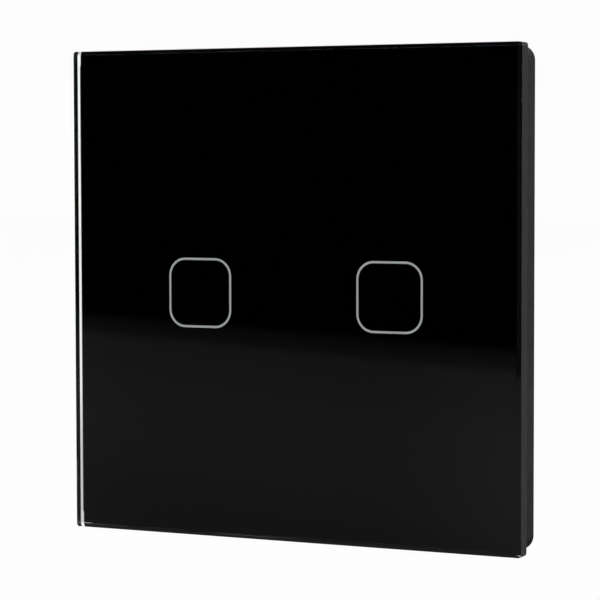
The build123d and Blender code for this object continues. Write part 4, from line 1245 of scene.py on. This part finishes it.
class SWITCH_OT_power_board(SwitchStep, Operator):
    """Finishes the power board and the parts soldered to it"""

    bl_idname = "touch_switch.power_board"
    bl_label = "Power board"

    def make(self):
        mains, metal, touch = settings("mains"), settings("metal"), settings("touch")
        dress(self.board(mains), "power_board")
        for name, tone, roughness, nodes in (
            ("capacitor_sleeve", mains.sleeve, 0.3, ("storage_capacitor", "output_capacitor")),
            ("yellow_film_case", mains.film_case, 0.3, ("filter_capacitor",)),
            ("fuse_case", mains.fuse_case, 0.5, ("fuse",)),
            ("blue_varistor", mains.varistor, 0.28, ("varistor",)),
            ("sintered_ferrite", mains.ferrite, 0.6, ("transformer_core", "choke")),
        ):
            dress(self.with_leads(name, tone, metal.tin, roughness), *nodes)
        dress(self.winding(mains), "transformer_winding")
        dress(legged_chip("power_chip", touch.chip, metal.tin, "power_chip"), "power_chip")

    def board(self, mains):
        """Green mask over broad copper areas with narrow gaps between them, and a faint glass weave."""
        made = Finish("green_solder_mask", mains.board, 0.35)
        values = {"Vector": made.place, "Scale": 170.0}
        first, second = (
            made.add("ShaderNodeTexVoronoi", values, distance="MANHATTAN", feature=rank).outputs["Distance"]
            for rank in ("F1", "F2")
        )
        copper = made.spread(made.calc("SUBTRACT", second, first), 0.0, 1.0, 0.11, 0.16)
        made.dapple(made.mottle(0.5 * MM), 0.85, 1.1, 0.28, 0.42).over(copper, lighter(mains.board, 1.5))
        return made.relief(copper, 0.03 * MM, made.edges(0.08 * MM))

    def with_leads(self, name, tone, tin, roughness):
        """A part's body, with tinned leads where it reaches into the board and below it."""
        made = glossy_moulding(name, tone, roughness)
        return made.tinned(made.within(made.axis("Y"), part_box("power_board")[1].y), tin)

    def winding(self, mains):
        """Turns of wire that show as ridges through polyester tape."""
        made = glossy_moulding("winding_tape", mains.winding, 0.28)
        return made.relief(made.ridges(480.0, 0.6), 0.05 * MM, made.edges(0.2 * MM))


class SWITCH_OT_relays(SwitchStep, Operator):
    """Finishes the two relays"""

    bl_idname = "touch_switch.relays"
    bl_label = "Relays"

    def make(self):
        mains, metal = settings("mains"), settings("metal")
        case = glossy_moulding("relay_case_moulding", mains.relay_case, 0.3, 0.2 * MM)
        base = moulded("relay_base_moulding", mains.relay_base, 0.45, 0.12 * MM, 0.004 * MM)
        iron = plated("relay_iron", metal.iron, 0.32, "Z", 0.1 * MM)
        brass = plated("contact_brass", metal.brass, 0.28, "Z", 0.08 * MM, (1.0, 1.0, 1.0))
        for finish, *parts in (
            (case, "case"), (base, "base"), (self.coil(mains), "coil"), (iron, "frame", "armature"),
            (brass, "contact"),
        ):
            dress(finish, *(f"relay_{part}_{side}" for part in parts for side in ("left", "right")))

    def coil(self, mains):
        """Enamelled wire wound in close turns, with painted shade in the grooves between them and a painted
        highlight on their crests.
        """
        made = Finish("copper_coil", mains.copper, 0.3, 0.85)
        turns = made.ridges(1900.0, 0.4)
        # Painted shade in the grooves between turns, painted highlight on the crests.
        made.set("Base Color", made.shades(turns, 0.45, 1.2))
        made.set("Roughness", made.spread(turns, 0.45, 0.25, 0.0, 1.0))
        return made.relief(turns, 0.04 * MM)


# Add-on


GROUPS = {
    "view": SwitchViewSettings,
    "studio": SwitchStudioSettings,
    "glass": SwitchGlassSettings,
    "panel": SwitchPanelSettings,
    "metal": SwitchMetalSettings,
    "touch": SwitchTouchSettings,
    "mains": SwitchMainsSettings,
}
STEPS = (
    SWITCH_OT_stage,
    SWITCH_OT_glass,
    SWITCH_OT_print,
    SWITCH_OT_tape,
    SWITCH_OT_frame,
    SWITCH_OT_plate,
    SWITCH_OT_box_screws,
    SWITCH_OT_touch_board,
    SWITCH_OT_tracks,
    SWITCH_OT_touch_pads,
    SWITCH_OT_header,
    SWITCH_OT_housing,
    SWITCH_OT_power_board,
    SWITCH_OT_relays,
)


class SWITCH_PT_build(Panel):
    """Lists the steps of the build"""

    bl_label = "Touch switch"
    bl_idname = "SWITCH_PT_build"
    bl_space_type = "VIEW_3D"
    bl_region_type = "UI"
    bl_category = "Touch switch"

    def draw(self, context):
        for step in STEPS:
            self.layout.operator(step.bl_idname)
        for name, group in GROUPS.items():
            box = self.layout.box()
            box.label(text=name.capitalize())
            for setting in group.__annotations__:
                box.prop(getattr(context.scene, "touch_switch_" + name), setting)


def register():
    for kind in (*GROUPS.values(), *STEPS, SWITCH_PT_build):
        bpy.utils.register_class(kind)
    for name, group in GROUPS.items():
        setattr(bpy.types.Scene, "touch_switch_" + name, PointerProperty(type=group))


def unregister():
    for name in GROUPS:
        delattr(bpy.types.Scene, "touch_switch_" + name)
    for kind in (SWITCH_PT_build, *reversed(STEPS), *reversed(GROUPS.values())):
        bpy.utils.unregister_class(kind)


def main():
    register()
    for step in STEPS:
        place, name = step.bl_idname.split(".")
        getattr(getattr(bpy.ops, place), name)()


if __name__ == "__main__":
    main()
